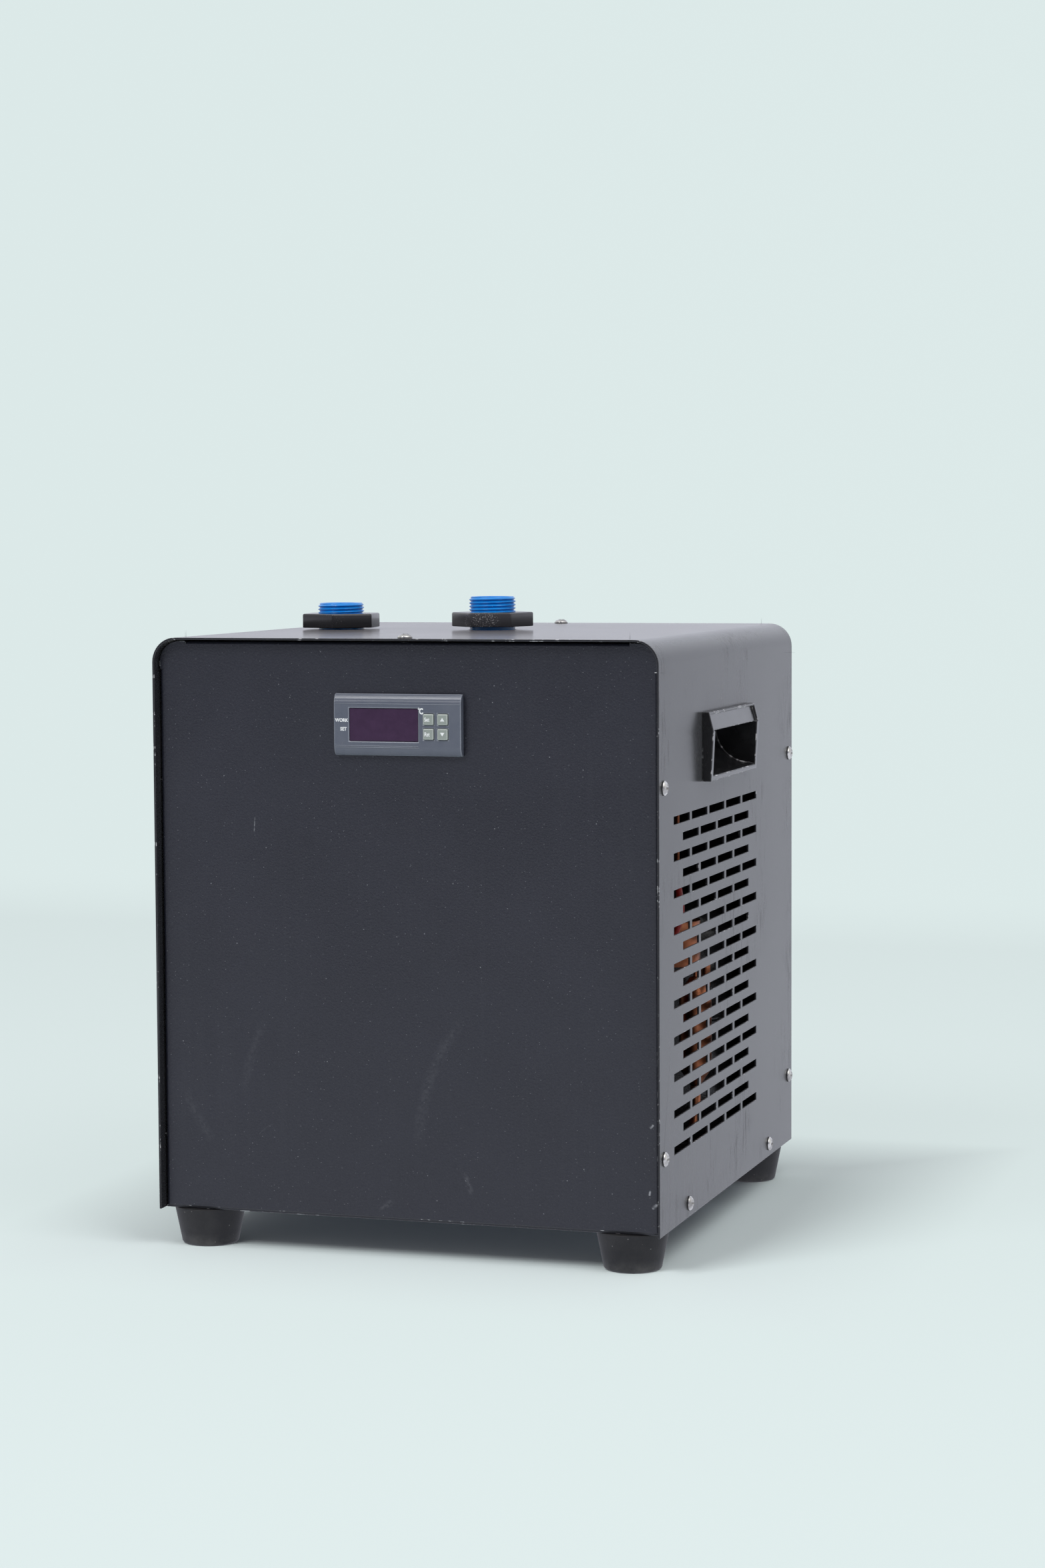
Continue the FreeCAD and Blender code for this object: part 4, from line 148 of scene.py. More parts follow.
# The camera sees the paper by its lamp light beside the chiller, where shadows have to show, and
# more and more by its plain colour away from it. Past 0.11 m from the case's outline that plain
# colour is painted light, which cuts the chiller's soft shadow short. Mirrored rays see it brighter
# than it is.
paper_colour = (0.755, 0.86, 0.853, 1)
mirrored_colour = (1.17, 1.2, 1.36, 1)
middle, half_width, half_depth = 0.01, 0.165, 0.17
paper, tree, output = blank_material("backdrop_paper")
lit = add_node(tree, "BsdfDiffuse", {"Color": paper_colour})
path = add_node(tree, "LightPath")
mirrored = path.outputs["Is Glossy Ray"]
seen = maths(tree, "MAXIMUM", path.outputs["Is Camera Ray"], path.outputs["Is Transmission Ray"])
x, y = object_axis(tree, "X"), object_axis(tree, "Y")
far = add_node(
    tree,
    "MapRange",
    {"Value": y, "From Min": 0.16, "From Max": 1.8, "To Max": 0.95},
    interpolation_type="SMOOTHSTEP",
)
past_x = maths(tree, "ABSOLUTE", maths(tree, "SUBTRACT", x, middle))
past_y = maths(tree, "ABSOLUTE", maths(tree, "SUBTRACT", y, middle))
past_x = maths(tree, "SUBTRACT", past_x, half_width)
past_y = maths(tree, "SUBTRACT", past_y, half_depth)
distance = maths(tree, "MAXIMUM", past_x, past_y)
# Painted light: the paper glows in its plain colour from 0.11 m off the case's outline outwards.
painted_light_round_case = add_node(tree, "MapRange", {"Value": distance, "From Max": 0.11, "To Max": 0.75})
seen = maths(tree, "MULTIPLY", seen, maths(tree, "MAXIMUM", far.outputs[0], painted_light_round_case.outputs[0]))
share = maths(tree, "MAXIMUM", seen, maths(tree, "MULTIPLY", mirrored, 0.75))
glow_colour = mix_colour(tree, mirrored, paper_colour, mirrored_colour)
glow = add_node(tree, "Emission", {"Color": glow_colour, "Strength": 0.97})
blend = add_node(tree, "MixShader", {0: share, 1: lit.outputs[0], 2: glow.outputs[0]})
tree.links.new(blend.outputs[0], output.inputs[0])

curve_radius, curve_start, sheet_top = 1.6, 2.2, 7.0
turn = np.linspace(0, math.pi / 2, 24)
floor_y = [-5.0, -1.0, 0.0, 1.0]
curve_y = curve_start + curve_radius * np.sin(turn)
sheet_y = np.concatenate([floor_y, curve_y, curve_y[-1:]])
sheet_z = np.concatenate([np.zeros(4), curve_radius * (1 - np.cos(turn)), [sheet_top]])
sheet_x = np.linspace(-6, 6, 13)
sheet_points = np.stack(
    np.broadcast_arrays(sheet_x[:, None], sheet_y[None, :], sheet_z[None, :]), axis=-1
)
backdrop = make_mesh("backdrop", [(sheet_points, False, False)], paper, merge=False)

# The room is darker on the camera's side. Mirrored rays see it in higher contrast than the rays of
# soft light do, and the camera sees plain paper.
room_front, room_back = (0.25, 0.26, 0.36, 1), (1.25, 1.27, 1.27, 1)
soft_front, soft_back = (0.5, 0.455, 0.475, 1), (0.36, 0.32, 0.34, 1)
world = bpy.data.worlds.new("room")
world.use_nodes = True
tree = world.node_tree
tree.nodes.clear()
coordinates = add_node(tree, "TexCoord")
y = add_node(tree, "SeparateXYZ", {0: coordinates.outputs["Generated"]}).outputs["Y"]
towards = add_node(tree, "MapRange", {"Value": y, "From Min": -0.9, "From Max": 0.35}).outputs[0]
shade = add_node(
    tree, "MapRange", {"Value": y, "From Min": -0.965, "From Max": -0.91, "To Min": 0.6}
)
room_colour = mix_colour(tree, towards, room_front, room_back)
room_colour = mix_colour(tree, 1.0, room_colour, shade.outputs[0], blend_type="MULTIPLY")
soft_colour = mix_colour(tree, towards, soft_front, soft_back)
path = add_node(tree, "LightPath")
colour = mix_colour(tree, path.outputs["Is Diffuse Ray"], room_colour, soft_colour)
colour = mix_colour(tree, path.outputs["Is Camera Ray"], colour, paper_colour)
room = add_node(tree, "Background", {"Color": colour, "Strength": 0.9})
output = add_node(tree, "OutputWorld", {0: room.outputs[0]})
bpy.context.scene.world = world


def hang_lamp(name, place, aim, size, power):
    """A square area lamp at a place, turned to face its aim."""
    light = bpy.data.lights.new(name, "AREA")
    light.size = size
    light.energy = power
    lamp = bpy.data.objects.new(name, light)
    lamp.location = place
    lamp.rotation_euler = (Vector(aim) - Vector(place)).to_track_quat("-Z", "Y").to_euler()
    bpy.context.collection.objects.link(lamp)


hang_lamp("key_lamp", (-0.9, -2.0, 2.4), (0, -0.1, 0.1), 1.2, 46)
hang_lamp("fill_lamp", (1.5, -0.8, 2.3), (0.2, 0.1, 0.1), 1.6, 27)


# The cover is one steel sheet folded over the top and down both sides, punched with vent slots and
# powder coated black. The coat is thin on the punched edges, and its sides carry marks and runs.
def start_effect(name, takes, gives="Mask"):
    """A new shader node group with number inputs, one output, and the object's coordinates."""
    group = bpy.data.node_groups.new(name, "ShaderNodeTree")
    for label, usual in takes.items():
        socket = group.interface.new_socket(label, in_out="INPUT", socket_type="NodeSocketFloat")
        socket.default_value = usual
    group.interface.new_socket(gives, in_out="OUTPUT", socket_type="NodeSocketFloat")
    taken = group.nodes.new("NodeGroupInput")
    given = group.nodes.new("NodeGroupOutput")
    place = add_node(group, "TexCoord").outputs["Object"]
    return group, taken, given, place


def use_effect(tree, effect, **values):
    """Places an effect in a material with its own values, and gives its output."""
    made = tree.nodes.new("ShaderNodeGroup")
    made.node_tree = effects[effect]
    for label, setting in values.items():
        made.inputs[label.capitalize()].default_value = setting
    return made.outputs[0]


def threshold(tree, signal, low, high):
    """0 below low, 1 above high, and an even rise between them."""
    made = add_node(tree, "MapRange", {"Value": signal, "From Min": low, "From Max": high})
    return made.outputs[0]


effects = {}

# Pebbled coat: a fine noise, as powder paint has after baking.
group, taken, given, place = start_effect("coat_pebble", {"Size": 0.0012}, "Height")
scale = maths(group, "DIVIDE", 1.0, taken.outputs["Size"])
fine = add_node(group, "TexNoise", {"Vector": place, "Scale": scale, "Detail": 3.0})
group.links.new(fine.outputs[0], given.inputs[0])
effects["coat_pebble"] = group

# Dust: a share of scattered points, each a small spot.
takes = {"Spacing": 0.006, "Size": 0.0006, "Share": 0.5}
group, taken, given, place = start_effect("dust_specks", takes)
scale = maths(group, "DIVIDE", 1.0, taken.outputs["Spacing"])
cells = add_node(group, "TexVoronoi", {"Vector": place, "Scale": scale})
reach = maths(group, "DIVIDE", taken.outputs["Size"], taken.outputs["Spacing"])
near = maths(group, "LESS_THAN", cells.outputs["Distance"], reach)
chosen = add_node(group, "SeparateColor", {0: cells.outputs["Color"]})
chosen = maths(group, "LESS_THAN", chosen.outputs[0], taken.outputs["Share"])
group.links.new(maths(group, "MULTIPLY", near, chosen), given.inputs[0])
effects["dust_specks"] = group

# Hair marks: the borders of large bent cells, kept only where a second noise is high.
takes = {"Spacing": 0.09, "Width": 0.0003, "Share": 0.25}
group, taken, given, place = start_effect("hair_marks", takes)
bend = add_node(group, "TexNoise", {"Vector": place, "Scale": 22.0, "Detail": 2.0})
bent = add_node(group, "VectorMath", {0: bend.outputs["Color"], "Scale": 0.05}, operation="SCALE")
moved = add_node(group, "VectorMath", {0: place, 1: bent.outputs[0]}, operation="ADD")
scale = maths(group, "DIVIDE", 1.0, taken.outputs["Spacing"])
border = add_node(
    group, "TexVoronoi", {"Vector": moved.outputs[0], "Scale": scale}, feature="DISTANCE_TO_EDGE"
)
reach = maths(group, "DIVIDE", taken.outputs["Width"], taken.outputs["Spacing"])
near = maths(group, "LESS_THAN", border.outputs["Distance"], reach)
gate = add_node(group, "TexNoise", {"Vector": place, "Scale": 35.0, "Detail": 1.0})
kept = maths(group, "SUBTRACT", 1.0, taken.outputs["Share"])
kept = maths(group, "GREATER_THAN", gate.outputs[0], maths(group, "MULTIPLY_ADD", kept, 0.35, 0.5))
group.links.new(maths(group, "MULTIPLY", near, kept), given.inputs[0])
effects["hair_marks"] = group

# Runs: noise drawn out along Z, as wiped and dried water leaves on an upright wall.
group, taken, given, place = start_effect("water_runs", {"Width": 0.006, "Amount": 0.5})
drawn = add_node(group, "Mapping", {"Vector": place, "Scale": (1.0, 1.0, 0.025)})
scale = maths(group, "DIVIDE", 1.0, taken.outputs["Width"])
run = add_node(group, "TexNoise", {"Vector": drawn.outputs[0], "Scale": scale, "Detail": 3.0})
area = add_node(group, "TexNoise", {"Vector": place, "Scale": 9.0, "Detail": 2.0})
run = threshold(group, run.outputs[0], 0.52, 0.72)
run = maths(group, "MULTIPLY", run, taken.outputs["Amount"])
run = maths(group, "MULTIPLY", run, threshold(group, area.outputs[0], 0.45, 0.65))
group.links.new(run, given.inputs[0])
effects["water_runs"] = group

# Stains: broad soft patches.
group, taken, given, place = start_effect("soft_stains", {"Size": 0.08})
scale = maths(group, "DIVIDE", 1.0, taken.outputs["Size"])
feeds = {"Vector": place, "Scale": scale, "Detail": 5.0, "Roughness": 0.62}
patches = add_node(group, "TexNoise", feeds)
group.links.new(threshold(group, patches.outputs[0], 0.38, 0.7), given.inputs[0])
effects["soft_stains"] = group

# Grime: short upright dark strokes, gathered in a few areas.
group, taken, given, place = start_effect("grime_strokes", {"Amount": 0.5})
drawn = add_node(group, "Mapping", {"Vector": place, "Scale": (1.0, 1.0, 0.16)})
stroke = add_node(group, "TexNoise", {"Vector": drawn.outputs[0], "Scale": 340.0, "Detail": 4.0})
area = add_node(group, "TexNoise", {"Vector": place, "Scale": 15.0, "Detail": 3.0})
stroke = threshold(group, stroke.outputs[0], 0.5, 0.68)
stroke = maths(group, "MULTIPLY", stroke, threshold(group, area.outputs[0], 0.5, 0.68))
group.links.new(maths(group, "MULTIPLY", stroke, taken.outputs["Amount"]), given.inputs[0])
effects["grime_strokes"] = group

# A rub: a soft smear on the front about (X, Z). It runs along Angle for Length, bends by Bend times
# the square of the way along, and is Width across. Noise breaks it up.
takes = {"X": 0.0, "Z": 0.0, "Angle": 0.0, "Length": 0.01, "Bend": 0.0, "Width": 0.004}
group, taken, given, place = start_effect("rubbed_stroke", takes)
at = add_node(group, "SeparateXYZ", {0: place})
away_x = maths(group, "SUBTRACT", at.outputs["X"], taken.outputs["X"])
away_z = maths(group, "SUBTRACT", at.outputs["Z"], taken.outputs["Z"])
cosine = maths(group, "COSINE", taken.outputs["Angle"])
sine = maths(group, "SINE", taken.outputs["Angle"])
along = maths(group, "MULTIPLY_ADD", away_x, cosine, maths(group, "MULTIPLY", away_z, sine))
aside = maths(group, "MULTIPLY", away_x, sine)
aside = maths(group, "SUBTRACT", maths(group, "MULTIPLY", away_z, cosine), aside)
bow = maths(group, "MULTIPLY", maths(group, "MULTIPLY", along, along), taken.outputs["Bend"])
off = maths(group, "ABSOLUTE", maths(group, "SUBTRACT", aside, bow))
off = maths(group, "DIVIDE", off, taken.outputs["Width"])
near = maths(group, "SUBTRACT", 1.0, off, clamp=True)
ends = maths(group, "DIVIDE", maths(group, "ABSOLUTE", along), taken.outputs["Length"])
ends = maths(group, "MULTIPLY", maths(group, "SUBTRACT", 1.0, ends, clamp=True), 3.0, clamp=True)
rough = add_node(group, "TexNoise", {"Vector": place, "Scale": 420.0, "Detail": 4.0})
rough = threshold(group, rough.outputs[0], 0.36, 0.62)
front = maths(group, "LESS_THAN", at.outputs["Y"], -0.1)
smear = maths(group, "MULTIPLY", maths(group, "MULTIPLY", near, ends), rough)
group.links.new(maths(group, "MULTIPLY", smear, front), given.inputs[0])
effects["rubbed_stroke"] = group


def surface_shader(tree, output, colour, roughness, height=None, depth=0.0, **constants):
    """The Principled shader, with a Bump node of this depth where there is a height."""
    feeds = {"Base Color": colour, "Roughness": roughness}
    if height is not None:
        bump = add_node(tree, "Bump", {"Height": height, "Distance": depth})
        feeds["Normal"] = bump.outputs[0]
    shader = add_node(tree, "BsdfPrincipled", feeds)
    for name, setting in constants.items():
        shader.inputs[name.replace("_", " ")].default_value = setting
    tree.links.new(shader.outputs[0], output.inputs[0])
    return shader


def powder_coat(
    name, colour, pale, roughness, dust, marks, runs, grime=0.0, rubs=(), depth=0.00012, **constants
):
    """Baked powder paint: pebbled, a little uneven in colour and gloss, with dust, hair marks,
    rubbed smears, and on upright faces water runs and dull grime. A rub is (strength, x, z, angle,
    length, bend, width)."""
    dust_colour, grime_colour = (0.5, 0.52, 0.56, 1), (0.004, 0.004, 0.004, 1)
    dust_sizes = [(0.0013, 0.00013, 0.11), (0.0026, 0.00023, 0.2), (0.0085, 0.00032, 0.3)]
    material, tree, output = blank_material(name)
    pebble = use_effect(tree, "coat_pebble", size=0.0011)
    stains = use_effect(tree, "soft_stains", size=0.07)
    upright = threshold(tree, object_axis(tree, "Z"), 0.3497, 0.347)
    drips = use_effect(tree, "water_runs", width=0.005, amount=runs)
    drips = maths(tree, "MULTIPLY", drips, upright)
    dull = use_effect(tree, "grime_strokes", amount=grime)
    dull = maths(tree, "MULTIPLY", dull, upright)
    base = mix_colour(tree, stains, (*colour, 1), (*pale, 1))
    grain = threshold(tree, pebble, 0.35, 0.68)
    base = mix_colour(tree, maths(tree, "MULTIPLY", grain, 0.01), base, (0.5, 0.52, 0.58, 1))
    film = maths(tree, "MULTIPLY", drips, 0.05)
    layers = [
        (strength, use_effect(tree, "dust_specks", spacing=spacing, size=size, share=dust))
        for spacing, size, strength in dust_sizes
    ]
    layers.append((0.08, use_effect(tree, "hair_marks", spacing=0.045, width=0.0001, share=marks)))
    for strength, x, z, angle, length, bend, width in rubs:
        smear = use_effect(
            tree, "rubbed_stroke", x=x, z=z, angle=angle, length=length, bend=bend, width=width
        )
        layers.append((strength, smear))
    for strength, layer in layers:
        layer = maths(tree, "MULTIPLY", layer, strength)
        film = maths(tree, "MAXIMUM", film, layer)
    base = mix_colour(tree, film, base, dust_colour)
    base = mix_colour(tree, dull, base, grime_colour)
    gloss = maths(tree, "MULTIPLY_ADD", stains, 0.03, roughness)
    gloss = maths(tree, "MULTIPLY_ADD", drips, 0.06, gloss)
    gloss = maths(tree, "MULTIPLY_ADD", dull, 0.5, gloss)
    surface_shader(tree, output, base, gloss, pebble, depth, **constants)
    return material


def edge_wear_and_highlight(name, colour, patch_colour, share):
    """A rounded edge with patches of a second colour. On the sheets the coat is thin there and
    bare metal shows; on the handles the pale patches are a painted highlight.
    """
    material, tree, output = blank_material(name)
    patch = use_effect(tree, "soft_stains", size=0.006)
    # The patches are worn coat on the sheets and a painted highlight on the handles.
    wear_and_highlight = threshold(tree, patch, 1.0 - share, 1.15 - share)
    base = mix_colour(tree, wear_and_highlight, (*colour, 1), (*patch_colour, 1))
    surface_shader(tree, output, base, 0.38)
    return material


body_names = {}
for body, nodes in frame["record"]["behaviour"]["bodies"].items():
    body_names.update(dict.fromkeys(nodes, body))


def stand_for(made, node):
    """Makes a piece ride with a CAD node's body and be shown in its stead."""
    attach(made, body_names[node])
    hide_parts(node)
    return made


def rounded_over(name, node, radius, coat, edge=None, sharp=30):
    """A CAD node with its sharp edges rounded: its surface is copied, doubles are merged, flat
    triangles are joined to one face, and each edge past the angle gets a bevel of this radius."""
    source = frame["nodes"][node].data
    points = np.empty(len(source.vertices) * 3)
    source.vertices.foreach_get("co", points)
    ends = np.empty(len(source.loops), dtype=np.int64)
    source.loops.foreach_get("vertex_index", ends)
    mesh = bpy.data.meshes.new(name)
    mesh.from_pydata(points.reshape(-1, 3).tolist(), [], ends.reshape(-1, 3).tolist())
    work = bmesh.new()
    work.from_mesh(mesh)
    bmesh.ops.remove_doubles(work, verts=work.verts, dist=1e-6)
    bmesh.ops.dissolve_limit(
        work, angle_limit=math.radians(0.6), verts=work.verts, edges=work.edges
    )
    work.to_mesh(mesh)
    work.free()
    mesh.polygons.foreach_set("use_smooth", np.ones(len(mesh.polygons), dtype=bool))
    mesh.materials.append(coat)
    mesh.materials.append(edge or coat)
    made = bpy.data.objects.new(name, mesh)
    bpy.context.collection.objects.link(made)
    bevel = made.modifiers.new("rounding", "BEVEL")
    bevel.width = radius
    bevel.segments = 2
    bevel.limit_method = "ANGLE"
    bevel.angle_limit = math.radians(sharp)
    bevel.use_clamp_overlap = False
    bevel.material = 1
    made.modifiers.new("flat_faces", "WEIGHTED_NORMAL")
    return stand_for(made, node)


def dress(node, material):
    """Gives a CAD node that stays visible its material."""
    frame["nodes"][node].material_slots[0].material = material


bare_metal = (0.55, 0.56, 0.58)
cover_coat = powder_coat(
    "cover_coat",
    (0.014, 0.0145, 0.018),
    (0.02, 0.021, 0.025),
    roughness=0.2,
    dust=0.4,
    marks=0.06,
    runs=1.0,
    grime=0.3,
    depth=0.00002,
    IOR=1.26,
    Sheen_Weight=0.35,
    Sheen_Roughness=0.25,
)
cover_edge = edge_wear_and_highlight("cover_edge", (0.03, 0.031, 0.034), bare_metal, 0.3)
rounded_over("cover", "wrap_cover", 0.00028, cover_coat, cover_edge)


# The front and rear panels are flat sheets with folded flanges, in the same black powder. The
# front one is dusty, with a few hair marks and rubs, and has chips along its lower right edge.
hand_rubs = [
    (0.035, 0.0145, 0.104, 1.22, 0.042, -4.0, 0.0045),
    (0.03, -0.0935, 0.112, 1.27, 0.022, -3.0, 0.0035),
    (0.035, -0.1272, 0.076, -1.07, 0.018, 5.0, 0.004),
    (0.5, -0.0899, 0.2442, 1.5, 0.0045, 0.0, 0.0004),
    (0.07, -0.0124, 0.0306, 0.5, 0.006, 30.0, 0.0022),
    (0.08, 0.0365, 0.0458, 1.9, 0.007, 10.0, 0.002),
    (0.9, 0.1428, 0.083, 0.8, 0.0016, 0.0, 0.0009),
    (0.9, 0.1445, 0.0386, 0.6, 0.0022, 0.0, 0.0012),
    (0.7, 0.1416, 0.0459, 1.4, 0.0016, 0.0, 0.0008),
    (0.5, 0.1462, 0.12, 1.57, 0.004, 0.0, 0.0007),
    (0.5, 0.1464, 0.101, 1.57, 0.003, 0.0, 0.0007),
    (0.6, 0.1463, 0.064, 1.57, 0.003, 0.0, 0.0008),
]
panel_coat = powder_coat(
    "panel_coat",
    (0.0078, 0.0088, 0.0155),
    (0.0112, 0.0124, 0.0205),
    roughness=0.35,
    dust=0.5,
    marks=0.2,
    runs=0.12,
    rubs=hand_rubs,
)
panel_edge = edge_wear_and_highlight("panel_edge", (0.02, 0.021, 0.024), bare_metal, 0.32)
rounded_over("front_plate", "front_panel", 0.0003, panel_coat, panel_edge)
rounded_over("rear_plate", "rear_panel", 0.0003, panel_coat, panel_edge)


# The base tray is a pressed sheet that closes the case from below. It is coated like the panels,
# and its cut edges show bare metal in places.
rounded_over("tray", "base_tray", 0.0003, panel_coat, panel_edge)


# The four feet are moulded rubber, held by a screw up through the tray. They are dusty from
# floors, most of all round the lower edge.
def moulded_rubber(name, colour, dust_colour):
    """Matte rubber: a fine grain, with dust that lies in soft patches."""
    material, tree, output = blank_material(name)
    pebble = use_effect(tree, "coat_pebble", size=0.0009)
    stains = use_effect(tree, "soft_stains", size=0.018)
    specks = use_effect(tree, "dust_specks", spacing=0.004, size=0.0004, share=0.5)
    low_down = threshold(tree, object_axis(tree, "Z"), 0.0075, 0.001)
    swept = maths(tree, "MULTIPLY_ADD", low_down, 0.16, 0.03)
    dusty = maths(tree, "MULTIPLY", stains, swept)
    dusty = maths(tree, "MAXIMUM", dusty, maths(tree, "MULTIPLY", specks, 0.25))
    base = mix_colour(tree, dusty, (*colour, 1), (*dust_colour, 1))
    surface_shader(tree, output, base, 0.6, pebble, 0.00008, Specular_IOR_Level=0.35)
    return material


foot_rubber = moulded_rubber("foot_rubber", (0.0075, 0.0075, 0.009), (0.4, 0.39, 0.38))
for node in ("foot_front_left", "foot_front_right", "foot_rear_left", "foot_rear_right"):
    rounded_over(node.replace("foot", "rubber_foot"), node, 0.0005, foot_rubber)


# The screws are bright zinc-plated steel with a pan head and a cross recess. Fourteen hold the
# cover, one holds each foot.
def bright_metal(name, colour, roughness, tarnish, grain=0.0009):
    """Plated or drawn metal: patches of dull film over it, and fine handling marks."""
    material, tree, output = blank_material(name)
    stains = use_effect(tree, "soft_stains", size=grain * 6)
    pebble = use_effect(tree, "coat_pebble", size=grain)
    base = mix_colour(tree, stains, (*colour, 1), (*tarnish, 1))
    gloss = maths(tree, "MULTIPLY_ADD", stains, 0.16, roughness)
    surface_shader(tree, output, base, gloss, pebble, 0.00003, Metallic=1.0)
    return material


def pan_head_screw(seat, direction, radius, height, shank_radius, length):
    """A pan head with a cross recess, on a shank. The head is a grid over radius and angle: height
    falls off as an ellipse, and inside the cross's arms it drops to the recess's floor. The angles
    bunch on the arms' edges, which are at asin(half width / radius)."""
    arm, reach, floor = 0.17 * radius, 0.56 * radius, 0.8 * height
    rings = np.concatenate(
        [np.linspace(0.24, 0.559, 4), [0.56, 0.5601], np.linspace(0.64, 1, 9)]
    ) * radius
    side = np.arcsin(np.minimum(arm / rings, math.sin(math.pi / 4) * 0.98))[:, None]
    quarter = np.arange(4)[None, :, None] * math.pi / 2
    inner = side[:, :, None] * np.array([-1, 0, 1])[None, None, :]
    gap = math.pi / 2 - 2 * side[:, :, None]
    outer = side[:, :, None] + gap * np.array([0, 0.5, 1])[None, None, :]
    angle = np.concatenate([quarter + inner, quarter + outer], axis=2).reshape(len(rings), -1)
    in_arm = np.tile([True] * 3 + [False] * 3, 4)[None, :] & (rings < reach)[:, None]
    dome = height * np.sqrt(np.maximum(1 - (rings / radius) ** 2 * 0.93, 0.0))[:, None]
    level = np.where(in_arm, height - floor, dome)
    top = np.stack(
        [rings[:, None] * np.cos(angle), rings[:, None] * np.sin(angle), level], axis=-1
    )
    pit = top[:1].copy()
    pit[..., :2] = 0
    pit[..., 2] = height - floor
    well = top[:1].copy()
    well[..., 2] = height - floor
    side_angle = angle[-1]
    profile = np.array([[radius, 0], [shank_radius, 0], [shank_radius, -length * 0.9]])
    profile = np.vstack([profile, [shank_radius * 0.5, -length], [0, -length]])
    skirt = np.stack(
        [
            profile[:, :1] * np.cos(side_angle),
            profile[:, :1] * np.sin(side_angle),
            np.broadcast_to(profile[:, 1:], (len(profile), len(side_angle))),
        ],
        axis=-1,
    )
    points = np.concatenate([pit, well, top, skirt])
    turned = Vector((0, 0, 1)).rotation_difference(Vector(direction)).to_matrix()
    return points @ np.array(turned).T + np.array(seat)


zinc_bright = bright_metal("zinc_bright", (0.6, 0.59, 0.57), 0.22, (0.26, 0.25, 0.24))
wall_x, lid_z = 0.149, 0.350
on_walls = [(0.1485, 0.269), (0.1485, 0.0645), (0.096, 0.030)]
head_radius, head_height, shank_radius = 0.0042, 0.0026, 0.0019
spots = [
    ((side * wall_x, end * y, z), (side, 0, 0))
    for side in (-1, 1)
    for end in (-1, 1)
    for y, z in on_walls
]
spots += [((0, end * 0.1485, lid_z), (0, 0, 1)) for end in (-1, 1)]
heads = [
    (pan_head_screw(*spot, head_radius, head_height, shank_radius, 0.008), False, True)
    for spot in spots
]
stand_for(make_mesh("case_screws", heads, zinc_bright), "cover_screws")
spots = [((x, y, 0.013), (0, 0, -1)) for x in (-0.127, 0.127) for y in (-0.135, 0.135)]
heads = [
    (pan_head_screw(*spot, head_radius, head_height, shank_radius, 0.0134), False, True)
    for spot in spots
]
stand_for(make_mesh("screws_in_feet", heads, zinc_bright), "foot_screws")
rounded_over("nuts_over_feet", "foot_nuts", 0.0003, zinc_bright)


# The side handles are moulded in black plastic: an outer frame on the wall, a slanted lip, and a
# scooped pocket for the fingers. Pale patches on their rounded edges are a painted highlight.
def moulded_plastic(name, colour, roughness, grain=0.0005, scuff=0.1, depth=0.00004):
    """Injection-moulded plastic: a fine spark-eroded grain, with pale scuffs in patches."""
    material, tree, output = blank_material(name)
    pebble = use_effect(tree, "coat_pebble", size=grain)
    stains = use_effect(tree, "soft_stains", size=0.012)
    specks = use_effect(tree, "dust_specks", spacing=0.004, size=0.00025, share=0.4)
    pale = tuple(0.25 + 0.6 * channel for channel in colour)
    dusty = maths(tree, "MULTIPLY", stains, scuff * 0.3)
    dusty = maths(tree, "MAXIMUM", dusty, maths(tree, "MULTIPLY", specks, scuff))
    base = mix_colour(tree, dusty, (*colour, 1), (*pale, 1))
    gloss = maths(tree, "MULTIPLY_ADD", stains, 0.08, roughness)
    surface_shader(tree, output, base, gloss, pebble, depth)
    return material


handle_plastic = moulded_plastic(
    "handle_plastic", (0.01, 0.01, 0.011), 0.16, scuff=0.12, depth=0.000008
)
# Painted highlight: pale patches on the handles' rounded edges.
handle_painted_highlight = edge_wear_and_highlight("handle_painted_highlight", (0.02, 0.02, 0.021), (0.45, 0.45, 0.46), 0.5)
rounded_over("grip_left", "handle_left", 0.0005, handle_plastic, handle_painted_highlight)
rounded_over("grip_right", "handle_right", 0.0005, handle_plastic, handle_painted_highlight)


# The controller's bezel is moulded in dark blue-grey plastic. A fine raised line runs under its
# upper band and another over its lower band, and its few words are printed in white. Its rounded
# edges and the raised lines are a paler plastic: a painted highlight.
bezel_plastic = moulded_plastic("bezel_plastic", (0.085, 0.098, 0.13), 0.3, scuff=0.25)
# Painted highlight: a paler plastic for the bezel's rounded edges and its raised lines.
bezel_painted_highlight = moulded_plastic("bezel_painted_highlight", (0.2, 0.22, 0.26), 0.28, scuff=0.3)
bezel = rounded_over("controller_face", "controller_bezel", 0.0005, bezel_plastic, bezel_painted_highlight)
face_low, face_high = (Vector(corner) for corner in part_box("controller_bezel"))
window_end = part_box("display_window")[1][0]
key_boxes = {n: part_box(n) for n in ("key_set", "key_up", "key_reset", "key_down")}
face_y = face_low.y
line_above, line_below, roll = face_high.z - 0.00553, face_low.z + 0.0046, 0.0009
sill, hole_corner = face_low.z + 0.007, 0.01975


